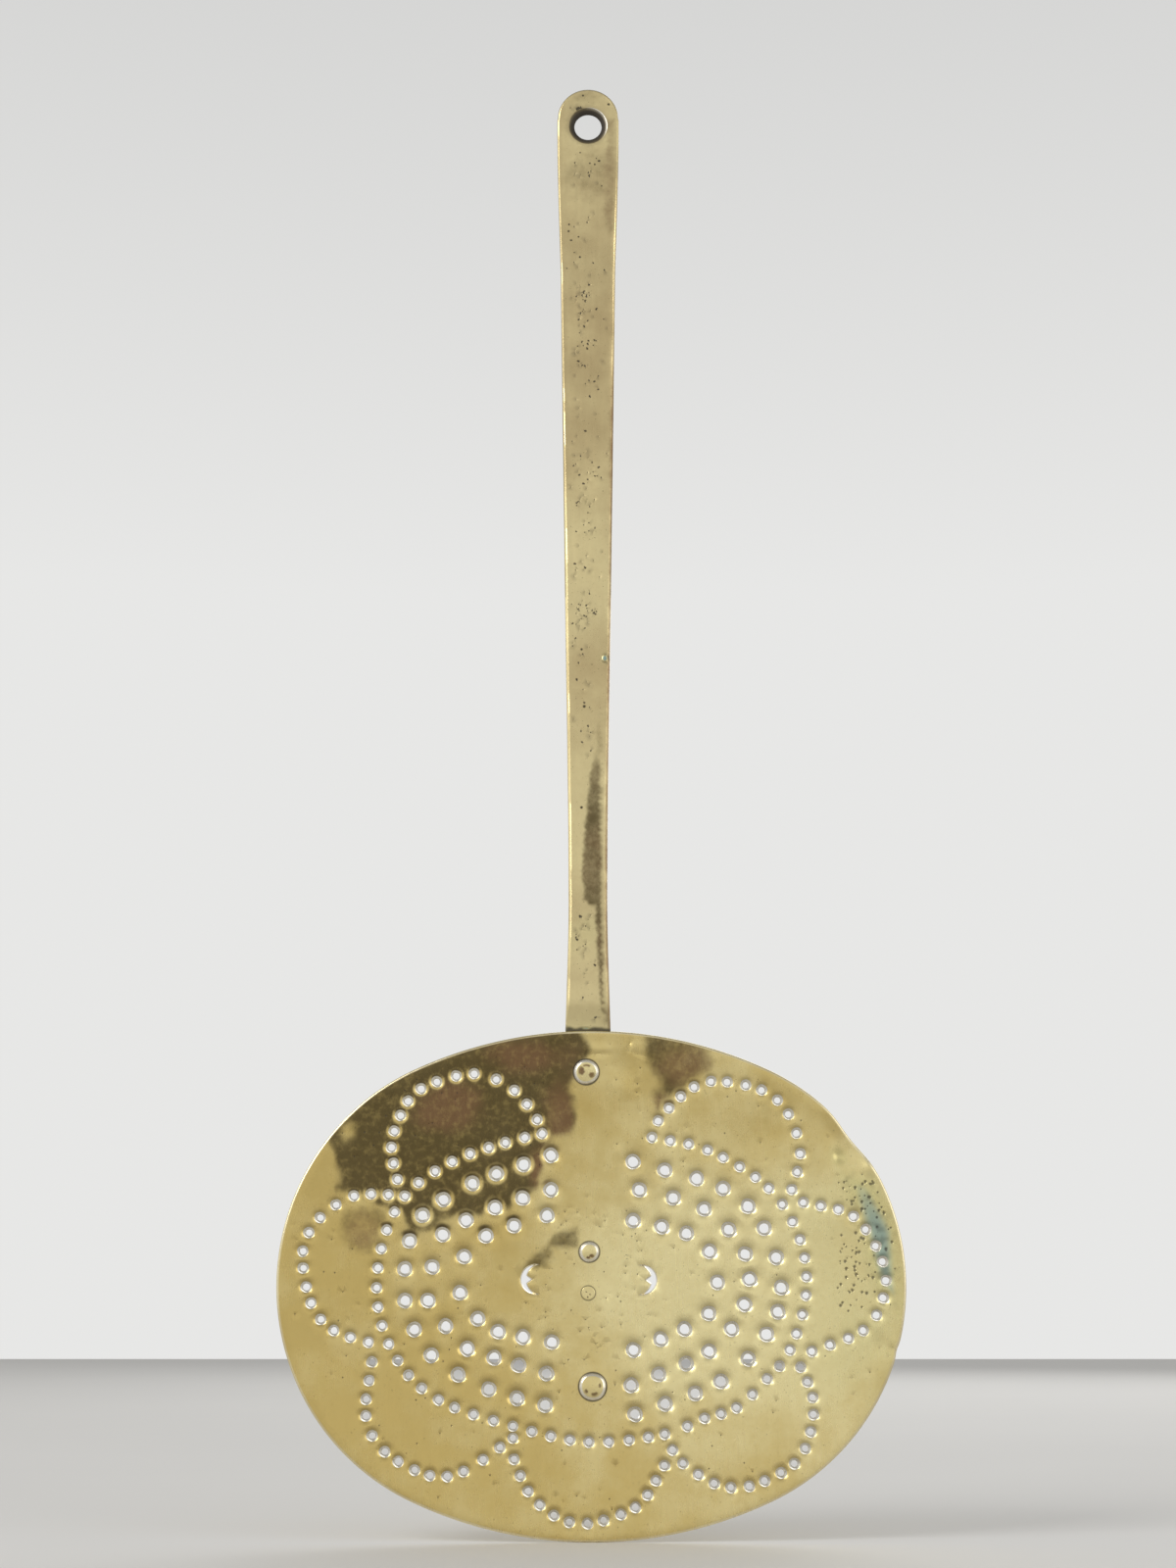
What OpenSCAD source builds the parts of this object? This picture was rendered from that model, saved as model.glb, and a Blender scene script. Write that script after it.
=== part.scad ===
// Brass kitchen skimmer: a shallow oval pierced blade riveted to the thinned end of a long flat handle.
// Millimetres. The origin is on the axis of the hanging hole, at the back face of the handle's eye.
// X is to the right seen from the front, Y runs to the back and Z is up, so the skimmer hangs down -Z.

/* [Overall] */
// Length from the top of the eye to the foot of the blade
overall_l = 600; // [480:5:750]

/* [Blade] */
// Width of the oval blade
blade_w = 246; // [200:1:300]
// Height of the oval blade
blade_h = 197; // [160:1:240]
// Radius of the arcs at the blade's two ends, as a share of half its height
end_roundness = 0.93; // [0.8:0.01:0.96]
// Thickness of the blade's sheet
sheet_t = 1.5; // [1.2:0.1:2.2]
// Radius of the shallow dish the blade is beaten to
dish_r = 1100; // [900:50:2500]
// How far the blade's middle sits to the right of the handle's
blade_shift = 1.3; // [-3:0.1:3]

/* [Holes of the flower outline] */
// Diameter of the small holes at the front
small_front_d = 4.2; // [3.4:0.1:4.8]
// Diameter of the small holes at the back
small_back_d = 2.6; // [1.8:0.1:3.2]

/* [Holes inside the flower] */
// Diameter of the large holes at the front
large_front_d = 5.8; // [4.8:0.1:6.4]
// Diameter of the large holes at the back
large_back_d = 3.8; // [3:0.1:4.6]

/* [Pierced crescents] */
// Radius of a crescent's outer arc
crescent_r = 6; // [4.5:0.1:6.5]
// Radius of a crescent's inner arc
crescent_inner_r = 5.7; // [4.3:0.1:5.8]
// How far the inner arc's centre is off the outer one's
crescent_offset = 2.3; // [1.6:0.1:2.8]
// Diameter of the dot punched at the middle of the blade
centre_dot_d = 1.5; // [1:0.1:2]

/* [Handle] */
// Width of the handle at the eye
eye_w = 26; // [22:0.5:32]
// Width of the handle half way down
middle_w = 19.4; // [17:0.1:24]
// Width of the handle at its narrowest
waist_w = 15.7; // [13:0.1:18]
// Width of the handle where it meets the blade
neck_w = 18; // [15:0.1:20]
// Thickness of the handle at the eye
eye_t = 2.8; // [2.2:0.1:4]
// Thickness of the handle above the blade
bar_t = 4; // [3:0.1:5]
// Width of the bevels along the front edges
bevel_w = 1.4; // [0.6:0.1:2]
// Depth of the bevels along the front edges
bevel_d = 0.9; // [0.4:0.1:1.4]

/* [Hanging hole] */
// Diameter of the hanging hole
hang_d = 11.6; // [8:0.1:13]
// Diameter of the hole's countersunk mouth at the front
hang_mouth_d = 16.2; // [13:0.1:18]
// Depth of the countersunk mouth
hang_mouth_depth = 1.5; // [0.6:0.1:1.8]
// Handle left above the countersunk mouth
hang_margin = 8.5; // [6:0.1:12]

/* [Strap behind the blade] */
// Thickness of the strap behind the blade
strap_t = 2.5; // [2:0.1:3.5]
// Width of the strap at its lower end
strap_w = 17; // [15:0.5:20]
// Strap left below the axis of the lowest rivet
strap_margin = 13; // [9:0.5:15]

/* [Rivets] */
// Diameter of the top rivet's head
top_head_d = 10.3; // [8:0.1:12]
// Diameter of the middle rivet's head
middle_head_d = 8.2; // [7:0.1:10]
// Diameter of the bottom rivet's head
bottom_head_d = 11; // [8:0.1:12]
// Height of the rivet heads
head_h = 1.3; // [0.8:0.1:2]
// Height of the upright edge under each head's dome
head_edge_h = 0.5; // [0.2:0.1:0.7]
// Diameter of the shanks of the three rivets with heads
shank_d = 5; // [3.5:0.1:6]
// Diameter of the rivet that is filed flush with the blade
flush_d = 5.5; // [4:0.1:6]
// Diameter of the hammered tails at the back
tail_d = 8.6; // [7:0.1:10]
// Height of the hammered tails at the back
tail_h = 1.3; // [0.8:0.1:1.8]

/* [Clearances] */
// Gap all round a shank in its hole
shank_clearance = 0.05; // [0.02:0.01:0.15]
// Gap between two faces that lie on each other
seat_gap = 0.05; // [0.03:0.01:0.1]

/* [Hidden] */
$fn = 96;

blade_brass = [0.78, 0.66, 0.36];
handle_brass = [0.74, 0.62, 0.38];
rivet_brass = [0.85, 0.8, 0.68];

// How far a cutting shape runs past the face it cuts.
past = 0.5;

// The blade's size on which the positions of holes, rivets and crescents below are given.
drawn_w = 246;
drawn_h = 197;
pattern_scale = [blade_w / drawn_w, blade_h / drawn_h];

// Heights of the handle's top end, of the blade's middle and of its upper rim.
top_z = hang_mouth_d / 2 + hang_margin;
foot_z = top_z - overall_l;
blade_z = foot_z + blade_h / 2;
rim_z = foot_z + blade_h;

// The dish's centre is far in front. The blade's back face lies this far before the handle's back face.
blade_back_y = -4;
dish_y = blade_back_y - sheet_t - dish_r;
dish_fn = 360;
punch_fn = 32;
// Room to the front that is sure to hold the whole dish.
dish_room = 40;

// The oval is two end arcs joined by two flatter arcs that run into them without a corner.
end_r = end_roundness * blade_h / 2;
end_x = blade_w / 2 - end_r;
flat_r = (end_x ^ 2 + (blade_h / 2) ^ 2 - end_r ^ 2) / (2 * (blade_h / 2 - end_r));
flat_z = flat_r - blade_h / 2;
join_angle = atan2(flat_z, end_x);
end_steps = 24;
flat_steps = 10;

// Lines of small holes: [x, height, number of the hole at this point], from the blade's middle.
ring_line = [
    [-19.5, 58, 0], [-34, 54.5, 2], [-55, 47, 5], [-73.5, 33.5, 8], [-82.5, 13, 11],
    [-83.5, -9.5, 14], [-75.5, -30, 17], [-59.5, -45, 20], [-30.5, -55, 24], [-1, -61, 28],
    [28.5, -58, 32], [44, -52, 34], [56.5, -48, 36], [68.5, -37, 38], [77.5, -26, 40],
    [84, -5, 43], [82, 16.5, 46], [70, 36.5, 49], [46, 51.5, 53], [24, 56.5, 56]
];
upper_left_petal = [
    [-21.5, 63.5, 0], [-30.5, 75, 2], [-46.5, 81.5, 4], [-67.5, 75.5, 7],
    [-75.5, 65, 9], [-79, 52.5, 11], [-76.5, 40, 13]
];
left_petal = [
    [-80, 34, 0], [-93.5, 33.5, 2], [-106.5, 25, 4], [-113, 12, 6],
    [-109.5, -8, 9], [-100.5, -18.5, 11], [-87, -23, 13]
];
lower_left_petal = [
    [-85.5, -30.5, 0], [-87.5, -51, 3], [-80, -64.5, 5], [-62.5, -73.5, 8],
    [-49.5, -72, 10], [-35.5, -63, 12], [-30.5, -59.5, 13]
];
bottom_petal = [
    [-30, -67.5, 0], [-24.5, -79.5, 2], [-14.5, -88.5, 4], [-1.5, -91.5, 6],
    [17, -85.5, 9], [25, -75.5, 11], [31.5, -64, 13]
];
lower_right_petal = [
    [35.5, -69, 0], [47.5, -76.5, 2], [61, -77.5, 4], [78.5, -69, 7],
    [85, -57, 9], [86, -44, 11], [81.5, -32.5, 13]
];
right_petal = [
    [86, -26.5, 0], [106, -18.5, 3], [114, -6, 5], [114, 8, 7],
    [103, 25.5, 10], [83.5, 31, 13]
];
upper_right_petal = [
    [26.5, 63, 0], [35.5, 72.5, 2], [47.5, 78.5, 4], [67.5, 75, 7],
    [78, 65.5, 9], [82.5, 50, 11], [79, 36, 13]
];
small_lines = [
    ring_line, upper_left_petal, left_petal, lower_left_petal, bottom_petal,
    lower_right_petal, right_petal, upper_right_petal
];

// Rows of large holes, given in the same way: outer, middle and inner row, left and right.
left_outer_row = [
    [-16, 49.5, 0], [-47, 38.5, 3], [-66.5, 26, 5], [-71.5, 16, 6],
    [-73, -7, 8], [-62.5, -28, 10], [-40, -41, 12], [-18, -47, 14]
];
left_middle_row = [
    [-16, 36, 0], [-38, 29, 2], [-58.5, 18.5, 4], [-62.5, 6, 5],
    [-64, -7, 6], [-48.5, -25.5, 8], [-38, -29, 9], [-17.5, -35, 11]
];
left_inner_row = [
    [-17.5, 26, 0], [-41.5, 18, 2], [-50, 10, 3], [-51.5, -4, 4],
    [-44.5, -14, 5], [-36.5, -19, 6], [-15.5, -23, 8]
];
right_outer_row = [
    [16.5, 47, 0], [52, 36.5, 3], [68, 21, 5], [74.5, -2, 7],
    [68.5, -20, 9], [50.5, -38, 11], [17, -50.5, 14]
];
right_middle_row = [
    [19, 36, 0], [44.5, 28.5, 2], [60.5, 11, 4], [60, -8.5, 6], [46, -26.5, 8], [15.5, -39.5, 11]
];
right_inner_row = [
    [16.5, 24, 0], [37.5, 19, 2], [46.5, 12, 3], [49.5, 0, 4],
    [46, -12, 5], [36.5, -18, 6], [16.5, -26, 8]
];
large_lines = [
    left_outer_row, left_middle_row, left_inner_row, right_outer_row, right_middle_row, right_inner_row
];

// Crescents, the centre dot and the rivets, from the blade's middle.
left_crescent = [-22, 1.2];
right_crescent = [20, 1];
centre_dot = [-0.5, 0.7];
top_rivet_at = [-2, 82.4];
middle_rivet_at = [-0.8, 11.8];
bottom_rivet_at = [0.5, -40.1];
flush_rivet_at = [-1.2, -4.1];

// The pointed nose in a crescent: its reach from the crescent's back, half its height at its base,
// and how far its base runs back past the inner arc.
nose_reach = 5.2;
nose_half_h = 1.8;
nose_root = 0.3;

// The upright edge of a tail, how far a shank reaches into its head and tail, and how far the flush
// rivet's end lies below the blade's face.
tail_edge_h = 0.3;
shank_root = 0.3;
flush_drop = 0.02;

// The handle's outline: [share of the way from the hole down to the blade's rim, width].
// The eye's round end is a little inside its widest part, and the shoulder lies between eye and middle.
eye_inset = 0.2;
shoulder_share = 0.45;
shoulder_w = eye_w - (eye_w - middle_w) * shoulder_share;
eye_end_r = eye_w / 2 - eye_inset;
eye_end_z = top_z - eye_end_r;
widths = [
    [-0.1, eye_w - eye_inset], [0.03, eye_w], [0.17, shoulder_w],
    [0.5, middle_w], [0.86, waist_w], [1, neck_w]
];

// Lengths of the eye's flat, of the bend above the blade and of the step from strap to bar.
eye_flat_l = 60;
bend_l = 34;
step_from = 2;
step_to = 12;
strap_bottom_z = blade_z + bottom_rivet_at[1] * pattern_scale[1] - strap_margin;
strap_round_l = strap_w / 2;

// Sections of the strap and bar, from the strap's rounded end up to the eye.
round_steps = 6;
strap_steps = 14;
bend_steps = 14;
bar_steps = 14;
section_zs = concat(
    [for (i = [1 : round_steps]) strap_bottom_z + strap_round_l * (1 - cos(90 * i / round_steps))],
    [for (i = [1 : strap_steps])
        strap_bottom_z + strap_round_l + (rim_z - strap_bottom_z - strap_round_l) * i / strap_steps],
    [for (i = [1 : bend_steps]) rim_z + bend_l * i / bend_steps],
    [for (i = [1 : bar_steps]) rim_z + bend_l + (-eye_flat_l - rim_z - bend_l) * i / bar_steps],
    [-eye_flat_l / 2, eye_end_z]
);

// A smooth curve from b to c, with a and d as its neighbours.
function curve_point(a, b, c, d, t) =
    0.5 * (2 * b + (c - a) * t + (2 * a - 5 * b + 4 * c - d) * t ^ 2 + (3 * b - a - 3 * c + d) * t ^ 3);

function guide_at(line, i) =
    i < 0 ? 2 * line[0] - line[1]
    : i >= len(line) ? 2 * line[len(line) - 1] - line[len(line) - 2]
    : line[i];

// The stretch of a line that holds the value v in the given column.
function stretch_at(line, column, v, i = 0) =
    i >= len(line) - 2 || line[i + 1][column] > v ? i : stretch_at(line, column, v, i + 1);

function point_at(line, column, v) =
    let (i = stretch_at(line, column, v))
    let (t = (v - line[i][column]) / (line[i + 1][column] - line[i][column]))
    curve_point(guide_at(line, i - 1), line[i], line[i + 1], guide_at(line, i + 2), t);

// A place on the drawn blade, moved to where it lies on a blade of the set size.
function scaled(at) = [at[0] * pattern_scale[0], at[1] * pattern_scale[1]];

function holes_of(line) = [for (n = [0 : line[len(line) - 1][2]]) scaled(point_at(line, 2, n))];

// A rise from 0 to 1 without corners while v runs from a to b.
function eased(a, b, v) =
    let (t = min(max((v - a) / (b - a), 0), 1))
    t * t * (3 - 2 * t);

// The back face of the strap and bar, seen from the side.
strap_front_r = dish_r + sheet_t + seat_gap;
strap_back_r = strap_front_r + strap_t;

function dish_back_y(z) = dish_y + sqrt(strap_back_r ^ 2 - (z - blade_z) ^ 2);

function dish_slope(z) = -(z - blade_z) / sqrt(strap_back_r ^ 2 - (z - blade_z) ^ 2);

// The bar leaves the bend a little in front of where the strap enters it, and runs straight to the eye.
bend_offset = 0.2;
bar_foot_z = rim_z + bend_l;
bar_foot_y = dish_back_y(rim_z) - bend_offset;
bar_slope = -bar_foot_y / (-eye_flat_l - bar_foot_z);

function bend_y(t) =
    (2 * t ^ 3 - 3 * t ^ 2 + 1) * dish_back_y(rim_z) + (t ^ 3 - 2 * t ^ 2 + t) * bend_l * dish_slope(rim_z)
    + (3 * t ^ 2 - 2 * t ^ 3) * bar_foot_y + (t ^ 3 - t ^ 2) * bend_l * bar_slope;

function back_y(z) =
    z <= rim_z ? dish_back_y(z)
    : z <= bar_foot_z ? bend_y((z - rim_z) / bend_l)
    : z <= -eye_flat_l ? bar_foot_y + (z - bar_foot_z) * bar_slope
    : 0;

// The strap narrows to its own width over this share of its length.
strap_taper_share = 0.5;

function strap_half_w(z) =
    let (down = (rim_z - z) / (rim_z - strap_bottom_z))
    let (w = neck_w + (strap_w - neck_w) * min(down / strap_taper_share, 1))
    let (up = (z - strap_bottom_z) / strap_round_l)
    up >= 1 ? w / 2 : w / 2 * sqrt(1 - (1 - up) ^ 2);

function half_w(z) = z <= rim_z ? strap_half_w(z) : point_at(widths, 0, z / rim_z)[1] / 2;

function thickness(z) =
    z <= rim_z ? strap_t
    : strap_t + (bar_t - strap_t) * eased(rim_z + step_from, rim_z + step_to, z)
      + (eye_t - bar_t) * eased(bar_foot_z, -eye_flat_l, z);

// Full bevels along the bar, which shrink towards the eye. The strap's edges are only broken.
broken_edge = 0.2;
eye_bevel_share = 0.6;
bevel_fade_z = -200;

function bevel_share(z) =
    eased(rim_z, rim_z + step_to, z) * (1 - (1 - eye_bevel_share) * eased(bevel_fade_z, -eye_flat_l, z));

function section(z) =
    let (w = half_w(z))
    let (back = back_y(z))
    let (front = back - thickness(z))
    let (bw = max(bevel_w * bevel_share(z), broken_edge))
    let (bd = max(bevel_d * bevel_share(z), broken_edge))
    [[-w, back, z], [-w, front + bd, z], [-w + bw, front, z], [w - bw, front, z], [w, front + bd, z], [w, back, z]];

// A quarter of the outline, from the blade's right end to its top.
outline_quarter = concat(
    [for (i = [0 : end_steps - 1])
        let (a = join_angle * i / end_steps)
        [end_x + end_r * cos(a), end_r * sin(a)]],
    [for (i = [0 : flat_steps])
        let (a = join_angle + (90 - join_angle) * i / flat_steps)
        [flat_r * cos(a), flat_r * sin(a) - flat_z]]
);

module blade_outline() {
    last = len(outline_quarter) - 1;
    polygon(concat(
        outline_quarter,
        [for (i = [last - 1 : -1 : 0]) [-outline_quarter[i][0], outline_quarter[i][1]]],
        [for (i = [1 : last]) [-outline_quarter[i][0], -outline_quarter[i][1]]],
        [for (i = [last - 1 : -1 : 1]) [outline_quarter[i][0], -outline_quarter[i][1]]]
    ));
}

// Puts a shape on the dish: its Y axis square to the sheet, and y = 0 at the sheet's front face.
module on_dish(at) {
    turn_z = -asin(at[0] / dish_r);
    turn_x = asin(at[1] / (dish_r * cos(turn_z)));
    translate([blade_shift, dish_y, blade_z])
        rotate([turn_x, 0, 0])
            rotate([0, 0, turn_z])
                translate([0, dish_r, 0])
                    children();
}

// A hole struck with a round-nosed punch: part of a ball, wide at the front face and narrow at the back.
module punched_hole(front_d, back_d) {
    centre_y = (sheet_t ^ 2 + (back_d / 2) ^ 2 - (front_d / 2) ^ 2) / (2 * sheet_t);
    translate([0, centre_y, 0])
        rotate([-90, 0, 0])
            sphere(r = sqrt((front_d / 2) ^ 2 + centre_y ^ 2), $fn = punch_fn);
}

// A shallow round dot in the front face.
module punched_dot(d) {
    translate([0, -d / 4, 0])
        rotate([-90, 0, 0])
            sphere(r = sqrt((d / 2) ^ 2 + (d / 4) ^ 2), $fn = punch_fn);
}

module straight_hole(d, length) {
    translate([0, -past, 0])
        rotate([-90, 0, 0])
            cylinder(h = length + 2 * past, d = d);
}

// A crescent that opens towards the middle of the blade, with a pointed nose in its hollow.
module crescent_shape() {
    difference() {
        circle(r = crescent_r);
        translate([crescent_offset, 0])
            circle(r = crescent_inner_r);
    }
    nose_base = crescent_offset - sqrt(crescent_inner_r ^ 2 - nose_half_h ^ 2) - nose_root;
    polygon([[nose_base, nose_half_h], [nose_base, -nose_half_h], [nose_reach - crescent_r, 0]]);
}

module crescent_hole() {
    rotate([90, 0, 0])
        translate([0, 0, -sheet_t - past])
            linear_extrude(sheet_t + 2 * past)
                crescent_shape();
}

module dish_ball(r) {
    translate([blade_shift, dish_y, blade_z])
        sphere(r = r, $fn = dish_fn);
}

module blade() {
    color(blade_brass)
        difference() {
            intersection() {
                dish_ball(dish_r + sheet_t);
                translate([blade_shift, 0, blade_z])
                    rotate([90, 0, 0])
                        linear_extrude(dish_room)
                            blade_outline();
            }
            dish_ball(dish_r);
            for (line = small_lines)
                for (at = holes_of(line))
                    on_dish(at)
                        punched_hole(small_front_d, small_back_d);
            for (line = large_lines)
                for (at = holes_of(line))
                    on_dish(at)
                        punched_hole(large_front_d, large_back_d);
            on_dish(scaled(left_crescent))
                crescent_hole();
            on_dish(scaled(right_crescent))
                mirror([1, 0, 0])
                    crescent_hole();
            on_dish(scaled(centre_dot))
                punched_dot(centre_dot_d);
            rivet_holes();
        }
}

module rivet_holes() {
    through = sheet_t + seat_gap + strap_t + past;
    for (at = [top_rivet_at, middle_rivet_at, bottom_rivet_at])
        on_dish(scaled(at))
            straight_hole(shank_d + 2 * shank_clearance, through);
    on_dish(scaled(flush_rivet_at))
        straight_hole(flush_d + 2 * shank_clearance, through);
}

// The strap and bar as one solid: a six-sided section carried along the handle.
module bar() {
    sections = [for (z = section_zs) section(z)];
    count = len(sections);
    sides = len(sections[0]);
    last = (count - 1) * sides;
    walls = [
        for (s = [0 : count - 2])
            for (k = [0 : sides - 1])
                let (a = s * sides + k)
                let (b = s * sides + (k + 1) % sides)
                each [[a, b + sides, b], [a, a + sides, b + sides]]
    ];
    foot = [for (k = [1 : sides - 2]) [0, k, k + 1]];
    top = [for (k = [1 : sides - 2]) [last, last + k + 1, last + k]];
    polyhedron(points = [for (s = sections) each s], faces = concat(walls, foot, top));
}

module eye() {
    eye_bevel_d = bevel_d * eye_bevel_share;
    eye_bevel_w = bevel_w * eye_bevel_share;
    translate([0, 0, eye_end_z])
        rotate([90, 0, 0]) {
            cylinder(h = eye_t - eye_bevel_d, r = eye_end_r);
            translate([0, 0, eye_t - eye_bevel_d])
                cylinder(h = eye_bevel_d, r1 = eye_end_r, r2 = eye_end_r - eye_bevel_w);
        }
}

module hanging_hole() {
    mouth_slope = (hang_mouth_d - hang_d) / 2 / hang_mouth_depth;
    rotate([90, 0, 0]) {
        translate([0, 0, -past])
            cylinder(h = eye_t + 2 * past, d = hang_d);
        translate([0, 0, eye_t - hang_mouth_depth])
            cylinder(h = hang_mouth_depth + past, r1 = hang_d / 2, r2 = hang_mouth_d / 2 + mouth_slope * past);
    }
}

module handle() {
    color(handle_brass)
        difference() {
            union() {
                bar();
                eye();
            }
            hanging_hole();
            rivet_holes();
        }
}

// A low dome with an upright edge, its flat side at y = 0 and its top towards -Y.
module button(d, height, edge_h) {
    dome_h = height - edge_h;
    dome_r = ((d / 2) ^ 2 + dome_h ^ 2) / (2 * dome_h);
    rotate([90, 0, 0])
        intersection() {
            cylinder(h = height + past, d = d);
            translate([0, 0, height - dome_r])
                sphere(r = dome_r);
        }
}

// A shank from behind the front seat to the tail, which lies on the strap's back face.
module shank_and_tail(d, front_y) {
    tail_y = sheet_t + seat_gap + strap_t + seat_gap;
    translate([0, front_y, 0])
        rotate([-90, 0, 0])
            cylinder(h = tail_y + shank_root - front_y, d = d);
    translate([0, tail_y, 0])
        mirror([0, 1, 0])
            button(tail_d, tail_h, tail_edge_h);
}

module headed_rivet(at, head_d) {
    color(rivet_brass)
        on_dish(scaled(at)) {
            translate([0, -seat_gap, 0])
                button(head_d, head_h, head_edge_h);
            shank_and_tail(shank_d, -seat_gap - shank_root);
        }
}

module top_rivet() {
    headed_rivet(top_rivet_at, top_head_d);
}

module middle_rivet() {
    headed_rivet(middle_rivet_at, middle_head_d);
}

module bottom_rivet() {
    headed_rivet(bottom_rivet_at, bottom_head_d);
}

module flush_rivet() {
    color(blade_brass)
        on_dish(scaled(flush_rivet_at))
            shank_and_tail(flush_d, flush_drop);
}

blade();
handle();
top_rivet();
middle_rivet();
bottom_rivet();
flush_rivet();
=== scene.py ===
import math

import bpy
import numpy as np
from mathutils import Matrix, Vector
from mathutils.geometry import delaunay_2d_cdt


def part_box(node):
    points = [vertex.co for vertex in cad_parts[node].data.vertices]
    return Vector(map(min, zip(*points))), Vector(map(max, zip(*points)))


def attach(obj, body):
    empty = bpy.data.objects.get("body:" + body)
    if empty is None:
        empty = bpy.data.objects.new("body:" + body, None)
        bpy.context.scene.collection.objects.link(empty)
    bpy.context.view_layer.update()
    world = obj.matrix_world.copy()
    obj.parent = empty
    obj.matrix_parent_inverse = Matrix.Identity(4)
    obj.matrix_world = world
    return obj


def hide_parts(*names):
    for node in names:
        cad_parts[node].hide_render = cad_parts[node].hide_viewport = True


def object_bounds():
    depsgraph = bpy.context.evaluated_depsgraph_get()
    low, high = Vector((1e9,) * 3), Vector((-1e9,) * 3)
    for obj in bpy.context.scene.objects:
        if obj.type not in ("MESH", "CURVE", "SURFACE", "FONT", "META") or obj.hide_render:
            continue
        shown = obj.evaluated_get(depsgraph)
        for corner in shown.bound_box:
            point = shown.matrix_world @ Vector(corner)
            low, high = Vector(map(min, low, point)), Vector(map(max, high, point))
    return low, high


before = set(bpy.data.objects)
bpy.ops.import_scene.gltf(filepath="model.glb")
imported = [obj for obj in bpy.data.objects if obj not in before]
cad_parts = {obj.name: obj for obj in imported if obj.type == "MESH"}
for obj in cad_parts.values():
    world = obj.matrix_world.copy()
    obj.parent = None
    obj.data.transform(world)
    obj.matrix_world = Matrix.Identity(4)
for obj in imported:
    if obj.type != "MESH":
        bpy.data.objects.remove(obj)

# Lengths are millimetres in the row's frame, unless a name or comment says otherwise: x right, y back, z up.
# A place on the blade is (u, v), its x and z from the blade's middle.
MM = 0.001
cad_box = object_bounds()


def cad_corners(node):
    low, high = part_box(node)
    return np.array(low) / MM, np.array(high) / MM


# The blade: the sheet and the radius it is dished to, and what its box in the frame gives.
SHEET_T = 1.5
DISH_R = 1100.0
END_ROUNDNESS = 0.93
BLADE_LOW, BLADE_HIGH = cad_corners("blade")
BLADE_X = (BLADE_LOW[0] + BLADE_HIGH[0]) / 2
BLADE_Z = (BLADE_LOW[2] + BLADE_HIGH[2]) / 2
HALF_W = (BLADE_HIGH[0] - BLADE_LOW[0]) / 2
HALF_H = (BLADE_HIGH[2] - BLADE_LOW[2]) / 2
DISH_Y = BLADE_HIGH[1] - SHEET_T - DISH_R
DISH_CENTRE = np.array((BLADE_X, DISH_Y, BLADE_Z))
RIM_Z = BLADE_Z + HALF_H

# The camera, from the photograph's perspective: it looks along +Y, tilted up. Metres and degrees.
CAMERA_AT = (0.0, -1.1009, -0.4892)
CAMERA_TILT = 10.52
CAMERA_LENS = 63.0
SENSOR = 36.0

# Colours, as the metal's reflectance.
# On the blade the mix from warm to pale brass follows a painted reflection of bright light, paler towards the right.
WARM_BRASS = (0.63, 0.475, 0.17)
PALE_BRASS = (0.88, 0.77, 0.41)
GREEN_BRASS = (0.58, 0.56, 0.25)
HANDLE_LIGHT = (0.72, 0.61, 0.33)
HANDLE_DARK = (0.52, 0.405, 0.21)
# Stain colours, which also paint dark reflections and shade.
OLIVE_STAIN_AND_SHADE = (0.105, 0.077, 0.033)
RED_STAIN_AND_SHADE = (0.19, 0.105, 0.055)
# Silver paints highlights on edges and walls, and brightens the lips round the holes' backs.
SILVER = (0.86, 0.83, 0.75)
# Near black, for dirt and for painted shade.
DIRT_AND_SHADE = (0.022, 0.016, 0.010)
VERDIGRIS = (0.20, 0.30, 0.27)
FLOOR_COLOUR = (0.62, 0.61, 0.59)
BACKGROUND = (0.80, 0.80, 0.79)


# Smooth random fields and soft shapes, for heights and marks alike.
def smooth(a, b, value):
    t = np.clip((np.asarray(value, float) - a) / (b - a), 0.0, 1.0)
    return t * t * (3.0 - 2.0 * t)


def hills(p, size, seed):
    """Smooth random hills from -1 to 1, about one to each square of the given size."""
    table = np.random.default_rng(seed).uniform(-1.0, 1.0, (64, 64))
    q = p / size + 64.0
    cell = np.floor(q).astype(int)
    t = q - cell
    t = t * t * (3.0 - 2.0 * t)
    x0, y0 = cell[:, 0] % 64, cell[:, 1] % 64
    x1, y1 = (x0 + 1) % 64, (y0 + 1) % 64
    near = table[x0, y0] * (1 - t[:, 0]) + table[x1, y0] * t[:, 0]
    far = table[x0, y1] * (1 - t[:, 0]) + table[x1, y1] * t[:, 0]
    return near * (1 - t[:, 1]) + far * t[:, 1]


def bump(p, at, radii, turn=0.0):
    """A soft round hill of height 1, with its own radius along each of its two axes."""
    c, s = math.cos(math.radians(turn)), math.sin(math.radians(turn))
    d = p - np.array(at)
    along, across = d[:, 0] * c + d[:, 1] * s, d[:, 1] * c - d[:, 0] * s
    return np.exp(-((along / radii[0]) ** 2) - (across / radii[1]) ** 2)


def inside(p, loop):
    """Which points lie inside a closed line."""
    a, b = loop, np.roll(loop, -1, axis=0)
    x, y = p[:, 0, None], p[:, 1, None]
    crosses = (a[:, 1] > y) != (b[:, 1] > y)
    rise = np.where(b[:, 1] == a[:, 1], 1.0, b[:, 1] - a[:, 1])
    left = x < a[:, 0] + (y - a[:, 1]) * (b[:, 0] - a[:, 0]) / rise
    return (crosses & left).sum(axis=1) % 2 == 1


def depth_inside(p, corners):
    """The distance to a closed line of corners, negative outside it."""
    loop = np.array(corners, float)
    along = np.roll(loop, -1, axis=0) - loop
    d = p[:, None, :] - loop
    t = np.clip((d * along).sum(axis=2) / (along**2).sum(axis=1), 0.0, 1.0)
    away = np.linalg.norm(d - t[:, :, None] * along, axis=2).min(axis=1)
    return np.where(inside(p, loop), away, -away)


def patch(p, corners, blur):
    """1 inside a closed line of corners and 0 outside, with an edge as soft as blur."""
    return smooth(-blur, blur, depth_inside(p, corners))


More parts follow.
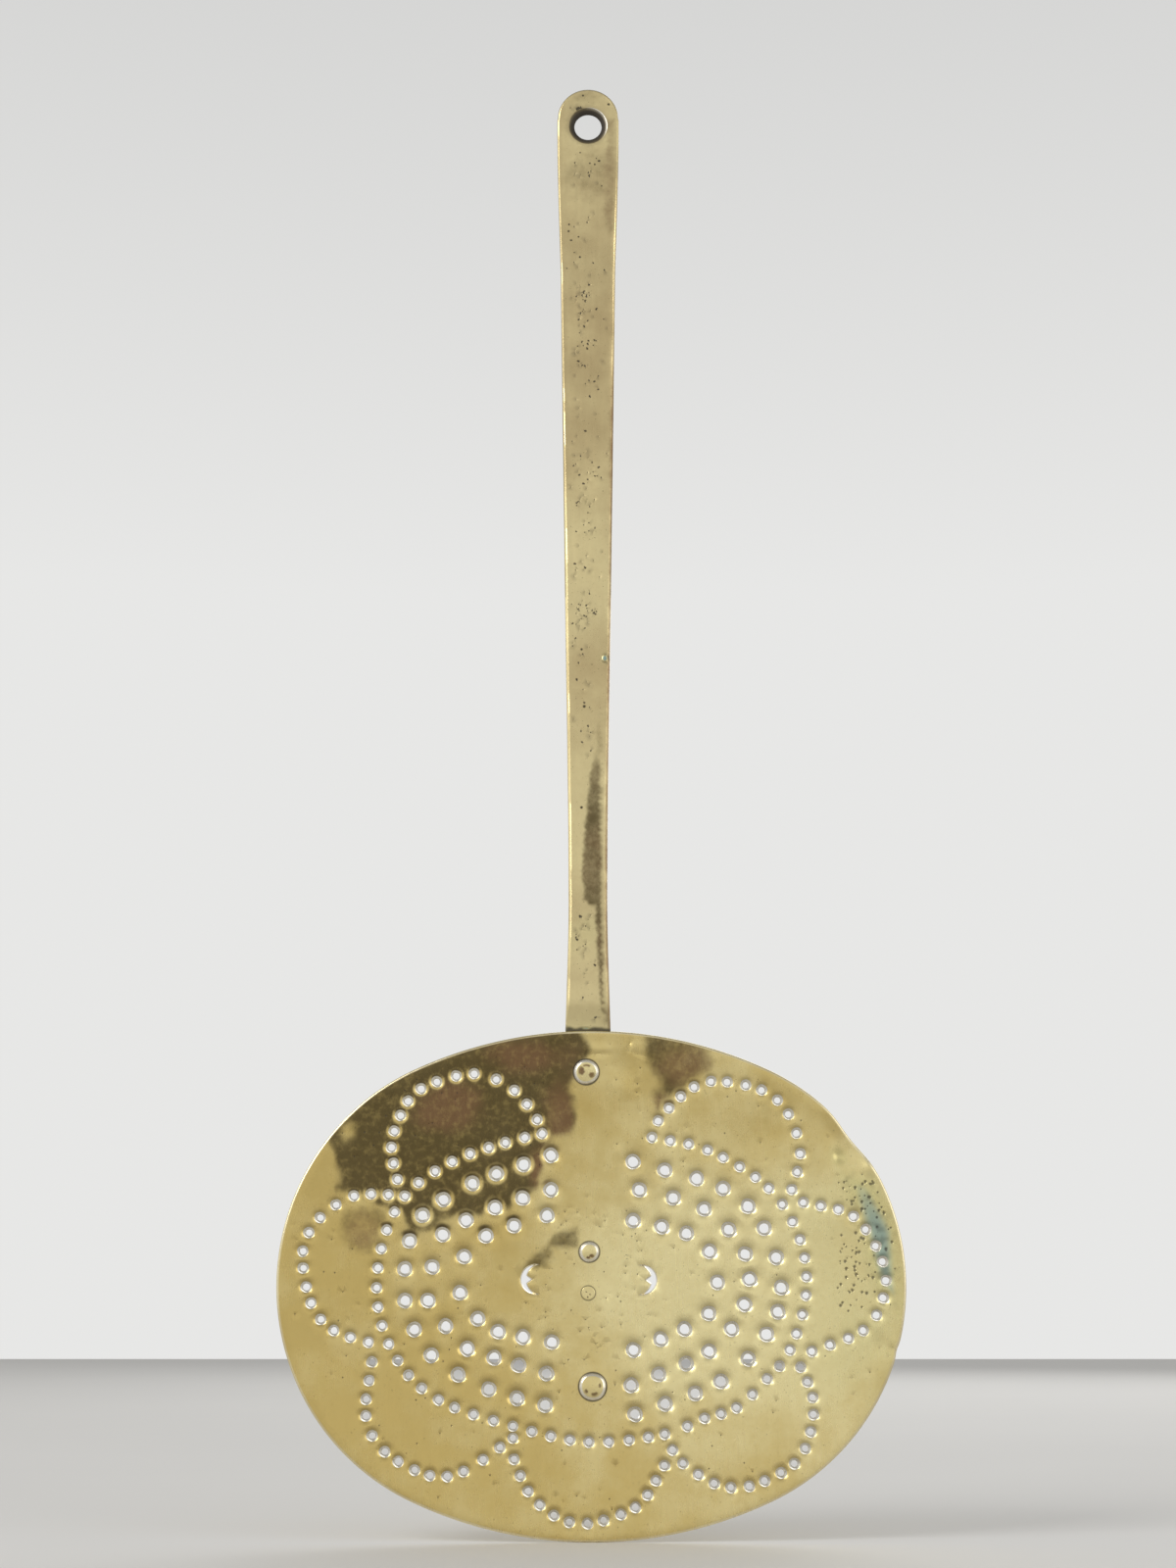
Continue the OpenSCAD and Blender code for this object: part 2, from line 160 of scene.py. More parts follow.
# Flat plates: triangles over an outline with holes, used for both faces of the blade and of the handle.
def ring(at, radius, count, start=0.0):
    angles = start + 2 * math.pi * np.arange(count) / count
    return np.array(at) + radius * np.column_stack((np.cos(angles), np.sin(angles)))


def grid(low, high, step):
    rows = np.arange(low[1], high[1], step * math.sqrt(3) / 2)
    points = [
        (x, y)
        for i, y in enumerate(rows)
        for x in np.arange(low[0] + (i % 2) * step / 2, high[0], step)
    ]
    return np.array(points)


def triangulate(loops, loose):
    """Triangles over the first loop, without the other loops' insides. Corners are numbered loops first."""
    points = np.vstack(loops + [loose])
    owner = np.full(len(points), -1)
    edges = []
    first = 0
    for k, loop in enumerate(loops):
        count = len(loop)
        edges += [(first + i, first + (i + 1) % count) for i in range(count)]
        owner[first : first + count] = k
        first += count
    made = delaunay_2d_cdt([Vector(p) for p in points], edges, [], 0, 1e-5)
    source = np.array([came[0] if came else -1 for came in made[3]])
    faces = source[np.array(made[2])]
    faces = faces[(faces >= 0).all(axis=1)]
    same = (owner[faces[:, 0]] == owner[faces[:, 1]]) & (owner[faces[:, 0]] == owner[faces[:, 2]])
    keep = np.ones(len(faces), bool)
    middles = points[faces].mean(axis=1)
    for k, loop in enumerate(loops):
        mine = np.flatnonzero(same & (owner[faces[:, 0]] == k))
        if len(mine):
            keep[mine] = inside(middles[mine], loop) == (k == 0)
    faces = faces[keep]
    a, b, c = points[faces[:, 0]], points[faces[:, 1]], points[faces[:, 2]]
    turned = (b[:, 0] - a[:, 0]) * (c[:, 1] - a[:, 1]) < (b[:, 1] - a[:, 1]) * (c[:, 0] - a[:, 0])
    faces[turned] = faces[turned][:, ::-1]
    return points, faces


class Shell:
    """Gathers corners, faces and marks of one closed piece."""

    def __init__(self):
        self.corners, self.faces, self.marks = [], [], []
        self.count = 0

    def add(self, corners, marks):
        first = self.count
        self.corners.append(np.asarray(corners, float))
        self.marks.append(marks)
        self.count += len(corners)
        return first

    def wall(self, rows, flip=False):
        """Quads between rows of corner numbers, each row a closed ring."""
        for lower, upper in zip(rows, rows[1:]):
            for i in range(len(lower)):
                j = (i + 1) % len(lower)
                quad = (lower[i], lower[j], upper[j], upper[i])
                self.faces.append(quad[::-1] if flip else quad)

    def build(self, name, material, sharp=38.0):
        corners = np.vstack(self.corners) * MM
        mesh = bpy.data.meshes.new(name)
        mesh.from_pydata(corners.tolist(), [], [list(map(int, f)) for f in self.faces])
        for key in ("tones", "wear_and_light"):
            values = np.vstack([m[key] for m in self.marks])
            colours = np.column_stack((values, np.ones(len(values)))).ravel()
            mesh.attributes.new(key, "FLOAT_COLOR", "POINT").data.foreach_set("color", colours)
        mesh.shade_smooth()
        mesh.set_sharp_from_angle(angle=math.radians(sharp))
        mesh.materials.append(material)
        mesh.validate()
        piece = bpy.data.objects.new(name, mesh)
        bpy.context.collection.objects.link(piece)
        return piece


def marks(count, stain_and_shade=0.0, red=0.0, pale=0.0, bright=0.0, dirt_and_shade=0.0, green=0.0):
    """What the finish reads at each corner: tones are stain with painted dark reflection and painted shade, redness,
    and paleness, which on the blade's front is a painted reflection; the other colour is brightness (painted
    highlights on edges and walls, and bright lips on the back), dirt with painted shade, and green.
    """

    def column(value):
        return np.broadcast_to(np.asarray(value, float), (count,))

    return {
        "tones": np.clip(np.column_stack((column(stain_and_shade), column(red), column(pale))), 0.0, 1.0),
        "wear_and_light": np.clip(np.column_stack((column(bright), column(dirt_and_shade), column(green))), 0.0, 1.0),
    }


def put_up(piece, node):
    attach(piece, "root")
    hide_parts(node)


# The blade's holes, read from the frame's own blade.
def cad_mesh(node):
    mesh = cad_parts[node].data
    mesh.calc_loop_triangles()
    corners = np.empty(len(mesh.vertices) * 3)
    mesh.vertices.foreach_get("co", corners)
    numbers = np.empty(len(mesh.loop_triangles) * 3, np.int32)
    mesh.loop_triangles.foreach_get("vertices", numbers)
    places, index = np.unique(np.round(corners.reshape(-1, 3) / MM, 3), axis=0, return_inverse=True)
    return places, index.reshape(-1)[numbers].reshape(-1, 3)


def border_loops(triangles):
    edges = np.concatenate([triangles[:, [0, 1]], triangles[:, [1, 2]], triangles[:, [2, 0]]])
    known = set(map(tuple, edges.tolist()))
    following = {a: b for a, b in sorted(known) if (b, a) not in known}
    loops = []
    while following:
        loop = [min(following)]
        while (ahead := following.pop(loop[-1])) != loop[0]:
            loop.append(ahead)
        loops.append(loop)
    return loops


def blade_openings():
    """The closed lines in the blade's front face, other than its outline, from the lowest up."""
    places, triangles = cad_mesh("blade")
    on_front = np.abs(np.linalg.norm(places - DISH_CENTRE, axis=1) - DISH_R) < 0.02
    flat = places[:, [0, 2]] - (BLADE_X, BLADE_Z)
    loops = [flat[loop] for loop in border_loops(triangles[on_front[triangles].all(axis=1)])]
    loops.sort(key=lambda loop: np.ptp(loop[:, 0]))
    return sorted(loops[:-1], key=lambda loop: tuple(np.round(loop.mean(axis=0)[::-1], 1)))


DOT_R = 1.0
LARGE_R = 2.6
RIVETS = ("top_rivet", "middle_rivet", "bottom_rivet", "flush_rivet")


def rivet_place(name):
    low, high = cad_corners(name)
    middle = (low + high) / 2
    out = middle - DISH_CENTRE
    on_face = DISH_CENTRE + out * DISH_R / np.linalg.norm(out)
    return on_face[[0, 2]] - (BLADE_X, BLADE_Z)


RIVET_AT = {name: rivet_place(name) for name in RIVETS}
FLUSH_R = 2.75
HEAD_R = {"top_rivet": 5.15, "middle_rivet": 4.1, "bottom_rivet": 5.5, "flush_rivet": FLUSH_R}


class Hole:
    """A punched hole: its middle, its radius at the front and at the back."""

    def __init__(self, loop, number):
        low, high = loop.min(axis=0), loop.max(axis=0)
        self.at = (low + high) / 2
        self.loop = loop
        self.front_r = float(np.linalg.norm(loop - self.at, axis=1).mean())
        spread = float(np.ptp(np.linalg.norm(loop - self.at, axis=1)))
        self.round = spread < 0.25 * self.front_r
        self.rivet = min(np.linalg.norm(self.at - at) for at in RIVET_AT.values()) < 1.0
        self.large = self.front_r > LARGE_R
        rng = np.random.default_rng(number + 7)
        self.lobes = rng.uniform(0.0, 0.028, 3)
        self.phases = rng.uniform(0.0, 2 * math.pi, 3)
        self.depth = (0.55 if self.large else 0.42) * rng.uniform(0.8, 1.25)
        self.reach = (3.0 if self.large else 2.2) * rng.uniform(0.9, 1.1)
        self.back_r = self.front_r * (3.8 / 5.8 if self.large else 2.6 / 4.2) * rng.uniform(0.93, 1.07)
        self.lip = 0.45 * rng.uniform(0.6, 1.4)


openings = [Hole(loop, number) for number, loop in enumerate(blade_openings())]
dots = [h for h in openings if h.round and h.front_r < DOT_R]
holes = [h for h in openings if h.round and not h.rivet and h.front_r >= DOT_R]
rivet_holes = [h for h in openings if h.rivet]
crescents = [h for h in openings if not h.round and not h.rivet]

# A hole's edge stays this far from the line midway to its nearest neighbour.
WEB = 0.1
for h in holes:
    h.room = min(np.linalg.norm(h.at - other.at) for other in holes if other is not h) / 2 - WEB

# The blade's outline: two end arcs joined by two flatter ones, at any distance inside the rim.
END_R = END_ROUNDNESS * HALF_H
END_X = HALF_W - END_R
FLAT_R = (END_X**2 + HALF_H**2 - END_R**2) / (2 * (HALF_H - END_R))
FLAT_Z = FLAT_R - HALF_H
JOIN = math.atan2(FLAT_Z, END_X)
OUTLINE_STEP = 1.6


def arc(middle, radius, start, end):
    count = max(2, round(abs(end - start) * radius / OUTLINE_STEP))
    angles = start + (end - start) * np.arange(count) / count
    return np.array(middle), radius, angles


OUTLINE_ARCS = (
    arc((END_X, 0.0), END_R, -JOIN, JOIN),
    arc((0.0, -FLAT_Z), FLAT_R, JOIN, math.pi - JOIN),
    arc((-END_X, 0.0), END_R, math.pi - JOIN, math.pi + JOIN),
    arc((0.0, FLAT_Z), FLAT_R, math.pi + JOIN, 2 * math.pi - JOIN),
)


def blade_outline(inset):
    parts = []
    for middle, radius, angles in OUTLINE_ARCS:
        parts.append(middle + (radius - inset) * np.column_stack((np.cos(angles), np.sin(angles))))
    return np.vstack(parts)


# Wear on the blade: (middle, radii, turn, height towards the viewer).
DENTS = (
    ((101.5, 54.0), (13.0, 7.0), 120.0, -1.3),
    ((109.5, 44.5), (3.0, 2.2), 120.0, 0.6),
    ((98.0, 49.0), (2.3, 2.6), 0.0, -0.7),
    ((6.0, 82.0), (3.0, 9.0), 12.0, 0.35),
    ((13.0, 76.0), (6.0, 3.0), -35.0, 0.2),
    ((12.0, 84.0), (6.0, 6.0), 0.0, -0.35),
    ((1.5, 89.2), (5.5, 0.7), 3.0, -0.5),
    ((2.0, 91.3), (8.0, 1.6), 0.0, 0.3),
    ((-3.3, 88.6), (0.9, 0.9), 0.0, 0.45),
    ((15.3, 92.8), (0.6, 2.6), -15.0, -0.5),
    ((20.0, 88.9), (4.5, 0.6), -20.0, -0.45),
    ((17.5, 92.0), (3.5, 2.5), 0.0, 0.25),
    ((26.4, 94.4), (1.0, 0.8), 0.0, 0.35),
    ((70.0, 60.0), (16.0, 9.0), 30.0, -0.35),
    ((-97.0, 58.0), (5.0, 3.0), 60.0, -0.4),
    ((112.0, -24.0), (5.0, 3.0), 100.0, -0.4),
    ((117.0, -26.0), (1.0, 2.0), 20.0, -0.6),
)
PUSHED_IN = (((102.5, 55.0), (10.0, 6.0), 120.0, 1.7), ((119.0, -26.0), (2.0, 3.0), 20.0, 0.5))
SCUFFED = ((99.0, 42.0), (110.0, 40.0), (119.0, 20.0), (120.0, -8.0), (112.0, -2.0), (107.0, 18.0))


def scattered(count, seed, low, high, sizes):
    """Random small pits: (middle, radius, depth)."""
    rng = np.random.default_rng(seed)
    pits = []
    for _ in range(count):
        radius = rng.uniform(*sizes)
        pits.append((rng.uniform(low, high), radius, radius * rng.uniform(0.3, 0.6)))
    return pits


def clear_of_holes(p, gap):
    good = np.ones(len(p), bool)
    for h in openings:
        if h in crescents:
            good &= depth_inside(p, h.loop) < -gap
        else:
            good &= np.linalg.norm(p - h.at, axis=1) > h.front_r + gap
    return good


BLADE_PITS = [
    pit
    for pit in scattered(330, 5, (-118.0, -94.0), (118.0, 94.0), (0.18, 0.45))
    + scattered(60, 6, (-22.0, -30.0), (22.0, 30.0), (0.18, 0.4))
    + scattered(150, 8, (96.0, -12.0), (119.0, 42.0), (0.3, 0.9))
    if inside(pit[0][None], blade_outline(3.0))[0] and clear_of_holes(pit[0][None], 1.6)[0]
    and min(np.linalg.norm(pit[0] - at) for at in RIVET_AT.values()) > 7.0
]
for dot in dots:
    BLADE_PITS.append((dot.at, dot.front_r, dot.front_r / 2))


def near_rivets(p, reach):
    close = np.zeros(len(p))
    for name, at in RIVET_AT.items():
        d = np.linalg.norm(p - at, axis=1)
        close = np.maximum(close, 1.0 - smooth(HEAD_R[name] + 0.3, HEAD_R[name] + reach, d))
    return close


def hollow(p, pits):
    """How deep small round pits are at each point."""
    depth = np.zeros(len(p))
    for at, radius, deep in pits:
        close = np.flatnonzero(np.abs(p - at).max(axis=1) < radius)
        share = np.linalg.norm(p[close] - at, axis=1) / radius
        depth[close] = np.maximum(depth[close], deep * np.clip(1.0 - share**2, 0.0, 1.0))
    return depth


def dish(p):
    return DISH_Y + np.sqrt(DISH_R**2 - (p**2).sum(axis=1))


def beaten(p):
    """The sheet's own unevenness, as height towards the viewer."""
    height = 0.10 * hills(p, 31.0, 11) + 0.045 * hills(p, 13.0, 12) + 0.012 * hills(p, 5.0, 13)
    for at, radii, turn, up in DENTS:
        height += up * bump(p, at, radii, turn)
    edge = inside_scuffs(p)
    height += edge * (0.10 * hills(p, 2.6, 14) + 0.05 * hills(p, 1.3, 15))
    return height * (1.0 - near_rivets(p, 3.0))


def inside_scuffs(p):
    return patch(p, SCUFFED, 5.0)


def dimples(p):
    """How far the punch pulled the sheet back round each hole."""
    depth = np.zeros(len(p))
    for h in holes:
        d = np.linalg.norm(p - h.at, axis=1)
        close = np.flatnonzero(d < h.front_r + h.reach)
        share = np.clip((d[close] - h.front_r) / h.reach, 0.0, 1.0)
        depth[close] = np.maximum(depth[close], h.depth * (1.0 - share) ** 2)
    return depth


def pushed(p):
    """Moves flat places inwards where the rim was knocked."""
    moved = p.copy()
    for at, radii, turn, amount in PUSHED_IN:
        inward = -np.array(at) / np.linalg.norm(at)
        moved += (amount * bump(p, at, radii, turn))[:, None] * inward
    return moved


def blade_front(p):
    return dish(p) - beaten(p) + dimples(p) + hollow(p, BLADE_PITS)


BURR_WIDTH = 0.55


def blade_back(p):
    burrs = np.zeros(len(p))
    for h in holes:
        d = np.linalg.norm(p - h.at, axis=1)
        close = np.flatnonzero(d < h.back_r + 3.0)
        edge = h.lip * np.exp(-(((d[close] - h.back_r - 0.1) / BURR_WIDTH) ** 2))
        burrs[close] = np.maximum(burrs[close], edge)
    free = 1.0 - smooth(13.0, 9.5, np.abs(p[:, 0])) * smooth(-58.0, -54.0, p[:, 1])
    return dish(p) + SHEET_T + (dimples(p) * 0.9 - beaten(p)) * free + burrs


def drawn_in(p):
    """Places on the back that belong to places on the front: rings of a hole close in on its smaller back end."""
    moved = p.copy()
    for h in holes:
        d = np.linalg.norm(p - h.at, axis=1)
        reach = h.front_r + h.reach
        close = np.flatnonzero((d < reach) & (d > 0.1))
        share = (d[close] - h.front_r) / h.reach
        radius = h.back_r + 0.2 + share * (reach - h.back_r - 0.2)
        moved[close] = h.at + (p[close] - h.at) * (radius / d[close])[:, None]
    return moved


# The stains and painted dark reflections: closed lines on the blade that darken it, partly real tarnish and partly a
# painted reflection of dark things in the room, with how strong and how red each is.
DARK_ZONE = (
    (-108, 60), (-101, 48), (-99, 36), (-80, 29.5), (-75, 27), (-68, 21), (-59.5, 24.5), (-51, 25.5),
    (-44, 28), (-37, 33), (-34, 29.5), (-25, 33), (-20, 38), (-17, 54), (-8, 59), (-5.5, 72.5),
    (-9, 77), (-1.5, 88), (-2, 96), (-2, 110), (-60, 110), (-108, 85),
)
SECOND_ZONE = ((-99, 28), (-85, 31), (-80, 26), (-83, 11), (-90, 9.5), (-97.5, 13))
FORKED_ZONE = ((-19, 15.5), (-6, 23), (-6, 12.8), (-13, 14), (-20, 5), (-29, 3), (-24, 11))
RIGHT_ZONE = (
    (23, 104), (36, 104), (47, 90), (45.5, 83), (40.5, 78), (33.5, 75), (29, 72),
    (26.5, 63), (23.5, 71), (25, 80), (20, 86),
)
STAINS_AND_REFLECTIONS = ((DARK_ZONE, 3.2, 1.0), (SECOND_ZONE, 3.0, 0.5), (FORKED_ZONE, 1.8, 0.62), (RIGHT_ZONE, 3.4, 0.72))
LIGHTER_SPOTS = (((-96.0, 59.0), (5.0, 4.0), 50.0, 0.8), ((-14.0, 60.0), (5.0, 14.0), 0.0, 0.25))
# Reddish tints, part of the painted reflection in the dark zones.
RED_SPOTS = (
    ((-56.0, 68.0), (15.0, 10.0), 20.0), ((-12.0, 66.0), (7.0, 16.0), 0.0), ((-28.0, 89.0), (20.0, 7.0), 0.0),
    ((-19.0, 44.0), (6.0, 10.0), 0.0), ((36.0, 84.0), (14.0, 10.0), 0.0), ((-90.0, 20.0), (9.0, 9.0), 0.0),
    ((27.0, 68.0), (5.0, 8.0), 0.0),
)


# Darkening from the zones, partly real tarnish and partly a painted dark reflection.
def stain_and_reflection_at(p):
    wavy = p + np.column_stack((2.2 * hills(p, 7.0, 21), 2.2 * hills(p, 7.0, 22)))
    stain_and_shade = np.zeros(len(p))
    for corners, blur, strength in STAINS_AND_REFLECTIONS:
        stain_and_shade = np.maximum(stain_and_shade, strength * patch(wavy, corners, blur))
    for at, radii, turn, less in LIGHTER_SPOTS:
        stain_and_shade *= 1.0 - less * bump(p, at, radii, turn)
    return stain_and_shade


def blade_marks(p):
    """The front's marks, partly painted light. Round each hole the painted dark reflection gives way as each dimple
    reflects elsewhere, and smears in from above; painted shade darkens each hole's upper side.
    """
    stain_and_shade = stain_and_reflection_at(p)
    above = stain_and_reflection_at(p + (0.0, 9.0))
    dirt_and_shade = np.zeros(len(p))
    for h in holes:
        d = p - h.at
        r = np.linalg.norm(d, axis=1)
        close = np.flatnonzero(r < h.front_r + h.reach)
        up = np.clip(d[close, 1] / np.maximum(r[close], 0.1), -1.0, 1.0)
        # The halo and smear paint the reflection as each dimple shifts it.
        halo = 1.0 - smooth(h.front_r + 0.5, h.front_r + 0.85 * h.reach, r[close])
        smear = halo * smooth(0.1, 0.9, up) * above[close] * 0.8
        stain_and_shade[close] = np.maximum(stain_and_shade[close] * (1.0 - 0.9 * halo), smear)
        # Painted shade on each hole's upper side.
        dirt_and_shade[close] = np.maximum(dirt_and_shade[close], 0.35 * halo * smooth(0.2, 1.0, up))
    red = np.zeros(len(p))
    for at, radii, turn in RED_SPOTS:
        red = np.maximum(red, bump(p, at, radii, turn))
    # Paleness is a painted reflection of bright light: paler towards the right and round the middle right, less pale
    # above it to the right.
    pale = np.clip(0.15 + 0.85 * bump(p, (52.0, -4.0), (62.0, 48.0)) + 0.25 * smooth(-70.0, 110.0, p[:, 0]), 0, 1)
    pale *= 1.0 - 0.45 * bump(p, (66.0, 62.0), (30.0, 16.0), 30.0)
    pits = hollow(p, [(at, radius * 1.15, 1.0) for at, radius, _ in BLADE_PITS])
    scuffs = inside_scuffs(p)
    spot = 0.9 * (bump(p, (98.0, 49.0), (3.0, 3.2)) - 0.5 * bump(p, (98.0, 49.0), (1.6, 1.7)))
    green = 0.55 * scuffs + 0.3 * smooth(60.0, 110.0, p[:, 0]) * smooth(60.0, 20.0, np.abs(p[:, 1])) + spot
    dirt_and_shade = np.maximum(dirt_and_shade, 0.75 * smooth(0.15, 0.8, pits))
    dirt_and_shade = np.maximum(dirt_and_shade, 0.35 * scuffs * smooth(0.1, 0.7, hills(p, 1.7, 31)))
    # Painted shade round each rivet head, where it meets the blade.
    for name, at in RIVET_AT.items():
        d = np.linalg.norm(p - at, axis=1)
        dirt_and_shade = np.maximum(dirt_and_shade, 0.85 * (1.0 - smooth(HEAD_R[name] + 0.05, HEAD_R[name] + 0.5, d)))
    return marks(len(p), stain_and_shade=stain_and_shade, red=red, pale=pale, bright=0.0, dirt_and_shade=dirt_and_shade, green=green)


def back_marks(p):
    blotches = 0.35 + 0.4 * hills(p, 26.0, 41) + 0.2 * hills(p, 9.0, 42)
    lips = np.zeros(len(p))
    for h in holes:
        d = np.linalg.norm(p - h.at, axis=1)
        lips = np.maximum(lips, 1.0 - smooth(h.back_r + 0.3, h.back_r + 1.2, d))
    strap = smooth(12.0, 9.0, np.abs(p[:, 0])) * smooth(-60.0, -55.0, p[:, 1])
    return marks(
        len(p), stain_and_shade=0.45 * smooth(0.2, 0.9, blotches) * (1.0 - lips), red=0.5 + 0.5 * hills(p, 30.0, 43),
        pale=0.3, bright=0.4 * lips, dirt_and_shade=0.5 * strap,
    )


# (how far inside the outline, share of the thickness) round the rim, from the front face to the back.
RIM_ROUND = ((0.62, 0.05), (0.28, 0.17), (0.06, 0.36), (0.0, 0.56), (0.08, 0.78), (0.28, 0.94))
RIM_FRONT, RIM_BACK = 1.1, 0.6
HOLE_EDGE = 0.22
# (share of the way from the front radius to the back radius, share of the depth) down a hole's wall.
HOLE_WALL = ((-0.08, 0.04), (0.0, 0.14), (0.18, 0.45), (0.6, 0.8), (1.0, 0.96))
GRID_STEP = 2.3


def uneven_ring(h, radius, count):
    angles = 2 * math.pi * np.arange(count) / count
    wobble = 1.0 + sum(
        lobe * np.cos((k + 2) * angles + phase) for k, (lobe, phase) in enumerate(zip(h.lobes, h.phases))
    )
    reach = np.minimum(radius * wobble, h.room)
    return h.at + reach[:, None] * np.column_stack((np.cos(angles), np.sin(angles)))


def resampled(loop, step):
    """The same closed line with a corner every step, and its own corners kept."""
    parts = []
    for a, b in zip(loop, np.roll(loop, -1, axis=0)):
        count = max(1, round(np.linalg.norm(b - a) / step))
        parts.append(a + (b - a) * (np.arange(count) / count)[:, None])
    return np.vstack(parts)


def shrunk(loop, amount):
    """The loop moved towards its inside. It runs anticlockwise."""
    along = np.roll(loop, -1, axis=0) - np.roll(loop, 1, axis=0)
    along /= np.linalg.norm(along, axis=1)[:, None]
    return loop + amount * np.column_stack((-along[:, 1], along[:, 0]))


def anticlockwise(loop):
    x, y = loop[:, 0], loop[:, 1]
    area = (x * np.roll(y, -1) - y * np.roll(x, -1)).sum()
    return loop if area > 0 else loop[::-1]


def ring_count(h):
    return 26 if h.large else 20


def blade_points():
    """The outline, the holes' edges, and loose points that follow dimples, dents and pits."""
    edges = [uneven_ring(h, h.front_r + HOLE_EDGE, ring_count(h)) for h in holes]
    edges += [ring(h.at, h.front_r, 24) for h in rivet_holes]
    edges += [resampled(anticlockwise(h.loop), 0.5) for h in crescents]
    loose = []
    for h in holes:
        for k, share in enumerate((0.16, 0.34, 0.58, 0.95)):
            circle = ring(h.at, h.front_r + HOLE_EDGE + share * h.reach, ring_count(h), 0.12 * k)
            loose.append(circle)
    for at, radius, _ in BLADE_PITS:
        loose.append(np.vstack([at[None], ring(at, radius * 0.55, 6), ring(at, radius, 8), ring(at, radius * 1.4, 8)]))
    for name, at in RIVET_AT.items():
        loose += [ring(at, HEAD_R[name] + gap, 40) for gap in (-0.6, 0.05, 0.5, 1.4, 2.6)]
    fine = []
    for low, high, step in (((-8, 84), (30, 97), 0.9), ((88, 40), (116, 66), 1.1), ((94, -32), (122, 42), 1.2)):
        fine.append(grid(low, high, step))
    loose = np.vstack(loose)
    fine = np.vstack(fine)
    coarse = grid((-HALF_W, -HALF_H), (HALF_W, HALF_H), GRID_STEP)
    outline = blade_outline(RIM_FRONT)

    def room(p, gap):
        good = inside(p, blade_outline(RIM_FRONT + gap)) & clear_of_holes(p, gap)
        return p[good]

    loose = room(loose, 0.32)
    fine = room(fine, 0.5)
    coarse = room(coarse, GRID_STEP * 0.8)
    for h in holes:
        coarse = coarse[np.linalg.norm(coarse - h.at, axis=1) > h.front_r + HOLE_EDGE + h.reach * 1.05]
    return [outline] + edges, thinned([loose, fine, coarse], (0.16, 0.5, 0.9))


def thinned(groups, gaps):
    """Drops points that are closer to an earlier one than their group's gap."""
    kept, cells = [], {}
    size = max(gaps)
    for points, gap in zip(groups, gaps):
        for p in points:
            key = (int(p[0] // size), int(p[1] // size))
            near = (cells.get((key[0] + i, key[1] + j), ()) for i in (-1, 0, 1) for j in (-1, 0, 1))
            if all((p[0] - q[0]) ** 2 + (p[1] - q[1]) ** 2 > gap * gap for few in near for q in few):
                cells.setdefault(key, []).append(p)
                kept.append(p)
    return np.array(kept)


def on_blade(p, y):
    moved = pushed(p)
    return np.column_stack((moved[:, 0] + BLADE_X, y, moved[:, 1] + BLADE_Z))


def build_blade(material):
    loops, loose = blade_points()
    flat, faces = triangulate(loops, loose)
    behind = drawn_in(flat)
    count = len(loops[0])
    behind[:count] = blade_outline(RIM_BACK)
    shell = Shell()
    front = shell.add(on_blade(flat, blade_front(flat)), blade_marks(flat))
    back = shell.add(on_blade(behind, blade_back(behind)), back_marks(behind))
    shell.faces += (faces + front).tolist()
    shell.faces += (faces[:, ::-1] + back).tolist()

    rows = [np.arange(count) + front]
    for inset, share in RIM_ROUND:
        edge = blade_outline(inset)
        y = blade_front(edge) * (1 - share) + blade_back(edge) * share
        # A painted highlight on the front of the rounded rim.
        worn_and_lit = marks(count, stain_and_shade=0.25 * (share > 0.5), red=0.7, pale=0.5, bright=0.3 * (share < 0.3), dirt_and_shade=0.0)
        rows.append(np.arange(count) + shell.add(on_blade(edge, y), worn_and_lit))
    rows.append(np.arange(count) + back)
    shell.wall(rows, flip=True)

    first = count
    for h, loop in zip(holes + rivet_holes + crescents, loops[1:]):
        size = len(loop)
        here = np.arange(first, first + size)
        first += size
        y_front, y_back = blade_front(flat[here]), blade_back(behind[here])
        rows = [here + front]
        if h in holes:
            for k, (toward, share) in enumerate(HOLE_WALL):
                radius = h.front_r + (h.back_r - h.front_r) * toward
                edge = uneven_ring(h, radius, size)
                # The walls carry a painted silver highlight, and painted shade at their front and back edges.
                grime_and_shade = 0.5 if k == 0 else 0.12 if k < len(HOLE_WALL) - 1 else 0.4
                worn_and_lit = marks(size, bright=0.9, pale=0.6, dirt_and_shade=grime_and_shade)
                rows.append(np.arange(size) + shell.add(on_blade(edge, y_front * (1 - share) + y_back * share), worn_and_lit))
        elif h in crescents:
            # The crescents' walls carry a painted silver highlight, and painted shade at their front edge.
            for amount, share, bright in ((0.12, 0.06, 0.9), (0.22, 0.2, 0.9), (0.5, 0.75, 0.6)):
                edge = shrunk(loop, amount)
                worn_and_lit = marks(size, bright=bright, pale=0.6, dirt_and_shade=0.25 * (share < 0.1))
                rows.append(np.arange(size) + shell.add(on_blade(edge, y_front * (1 - share) + y_back * share), worn_and_lit))
        rows.append(here + back)
        shell.wall(rows)
    return shell.build("blade_sheet", material)


# The handle: its side view and its outline, as the frame has them.
HANDLE_LOW, HANDLE_HIGH = cad_corners("handle")
STRAP_T = 2.5
BAR_T = 4.0
EYE_T = 2.8
SEAT_GAP = 0.05
EYE_R = 12.8
EYE_Z = HANDLE_HIGH[2] - EYE_R
EYE_FLAT = -60.0
BEND_L = 34.0
STEP_FROM, STEP_TO = 2.0, 12.0
STRAP_W = 17.0
NECK_W = 18.0
BEVEL_W, BEVEL_D = 1.4, 0.9
BROKEN_EDGE = 0.3
HANG_R, MOUTH_R, MOUTH_D = 5.8, 8.1, 1.5
STRAP_FOOT = HANDLE_LOW[2]
STRAP_ROUND = STRAP_W / 2
BEND_OFFSET = 0.2
STRAP_R = DISH_R + SHEET_T + SEAT_GAP + STRAP_T
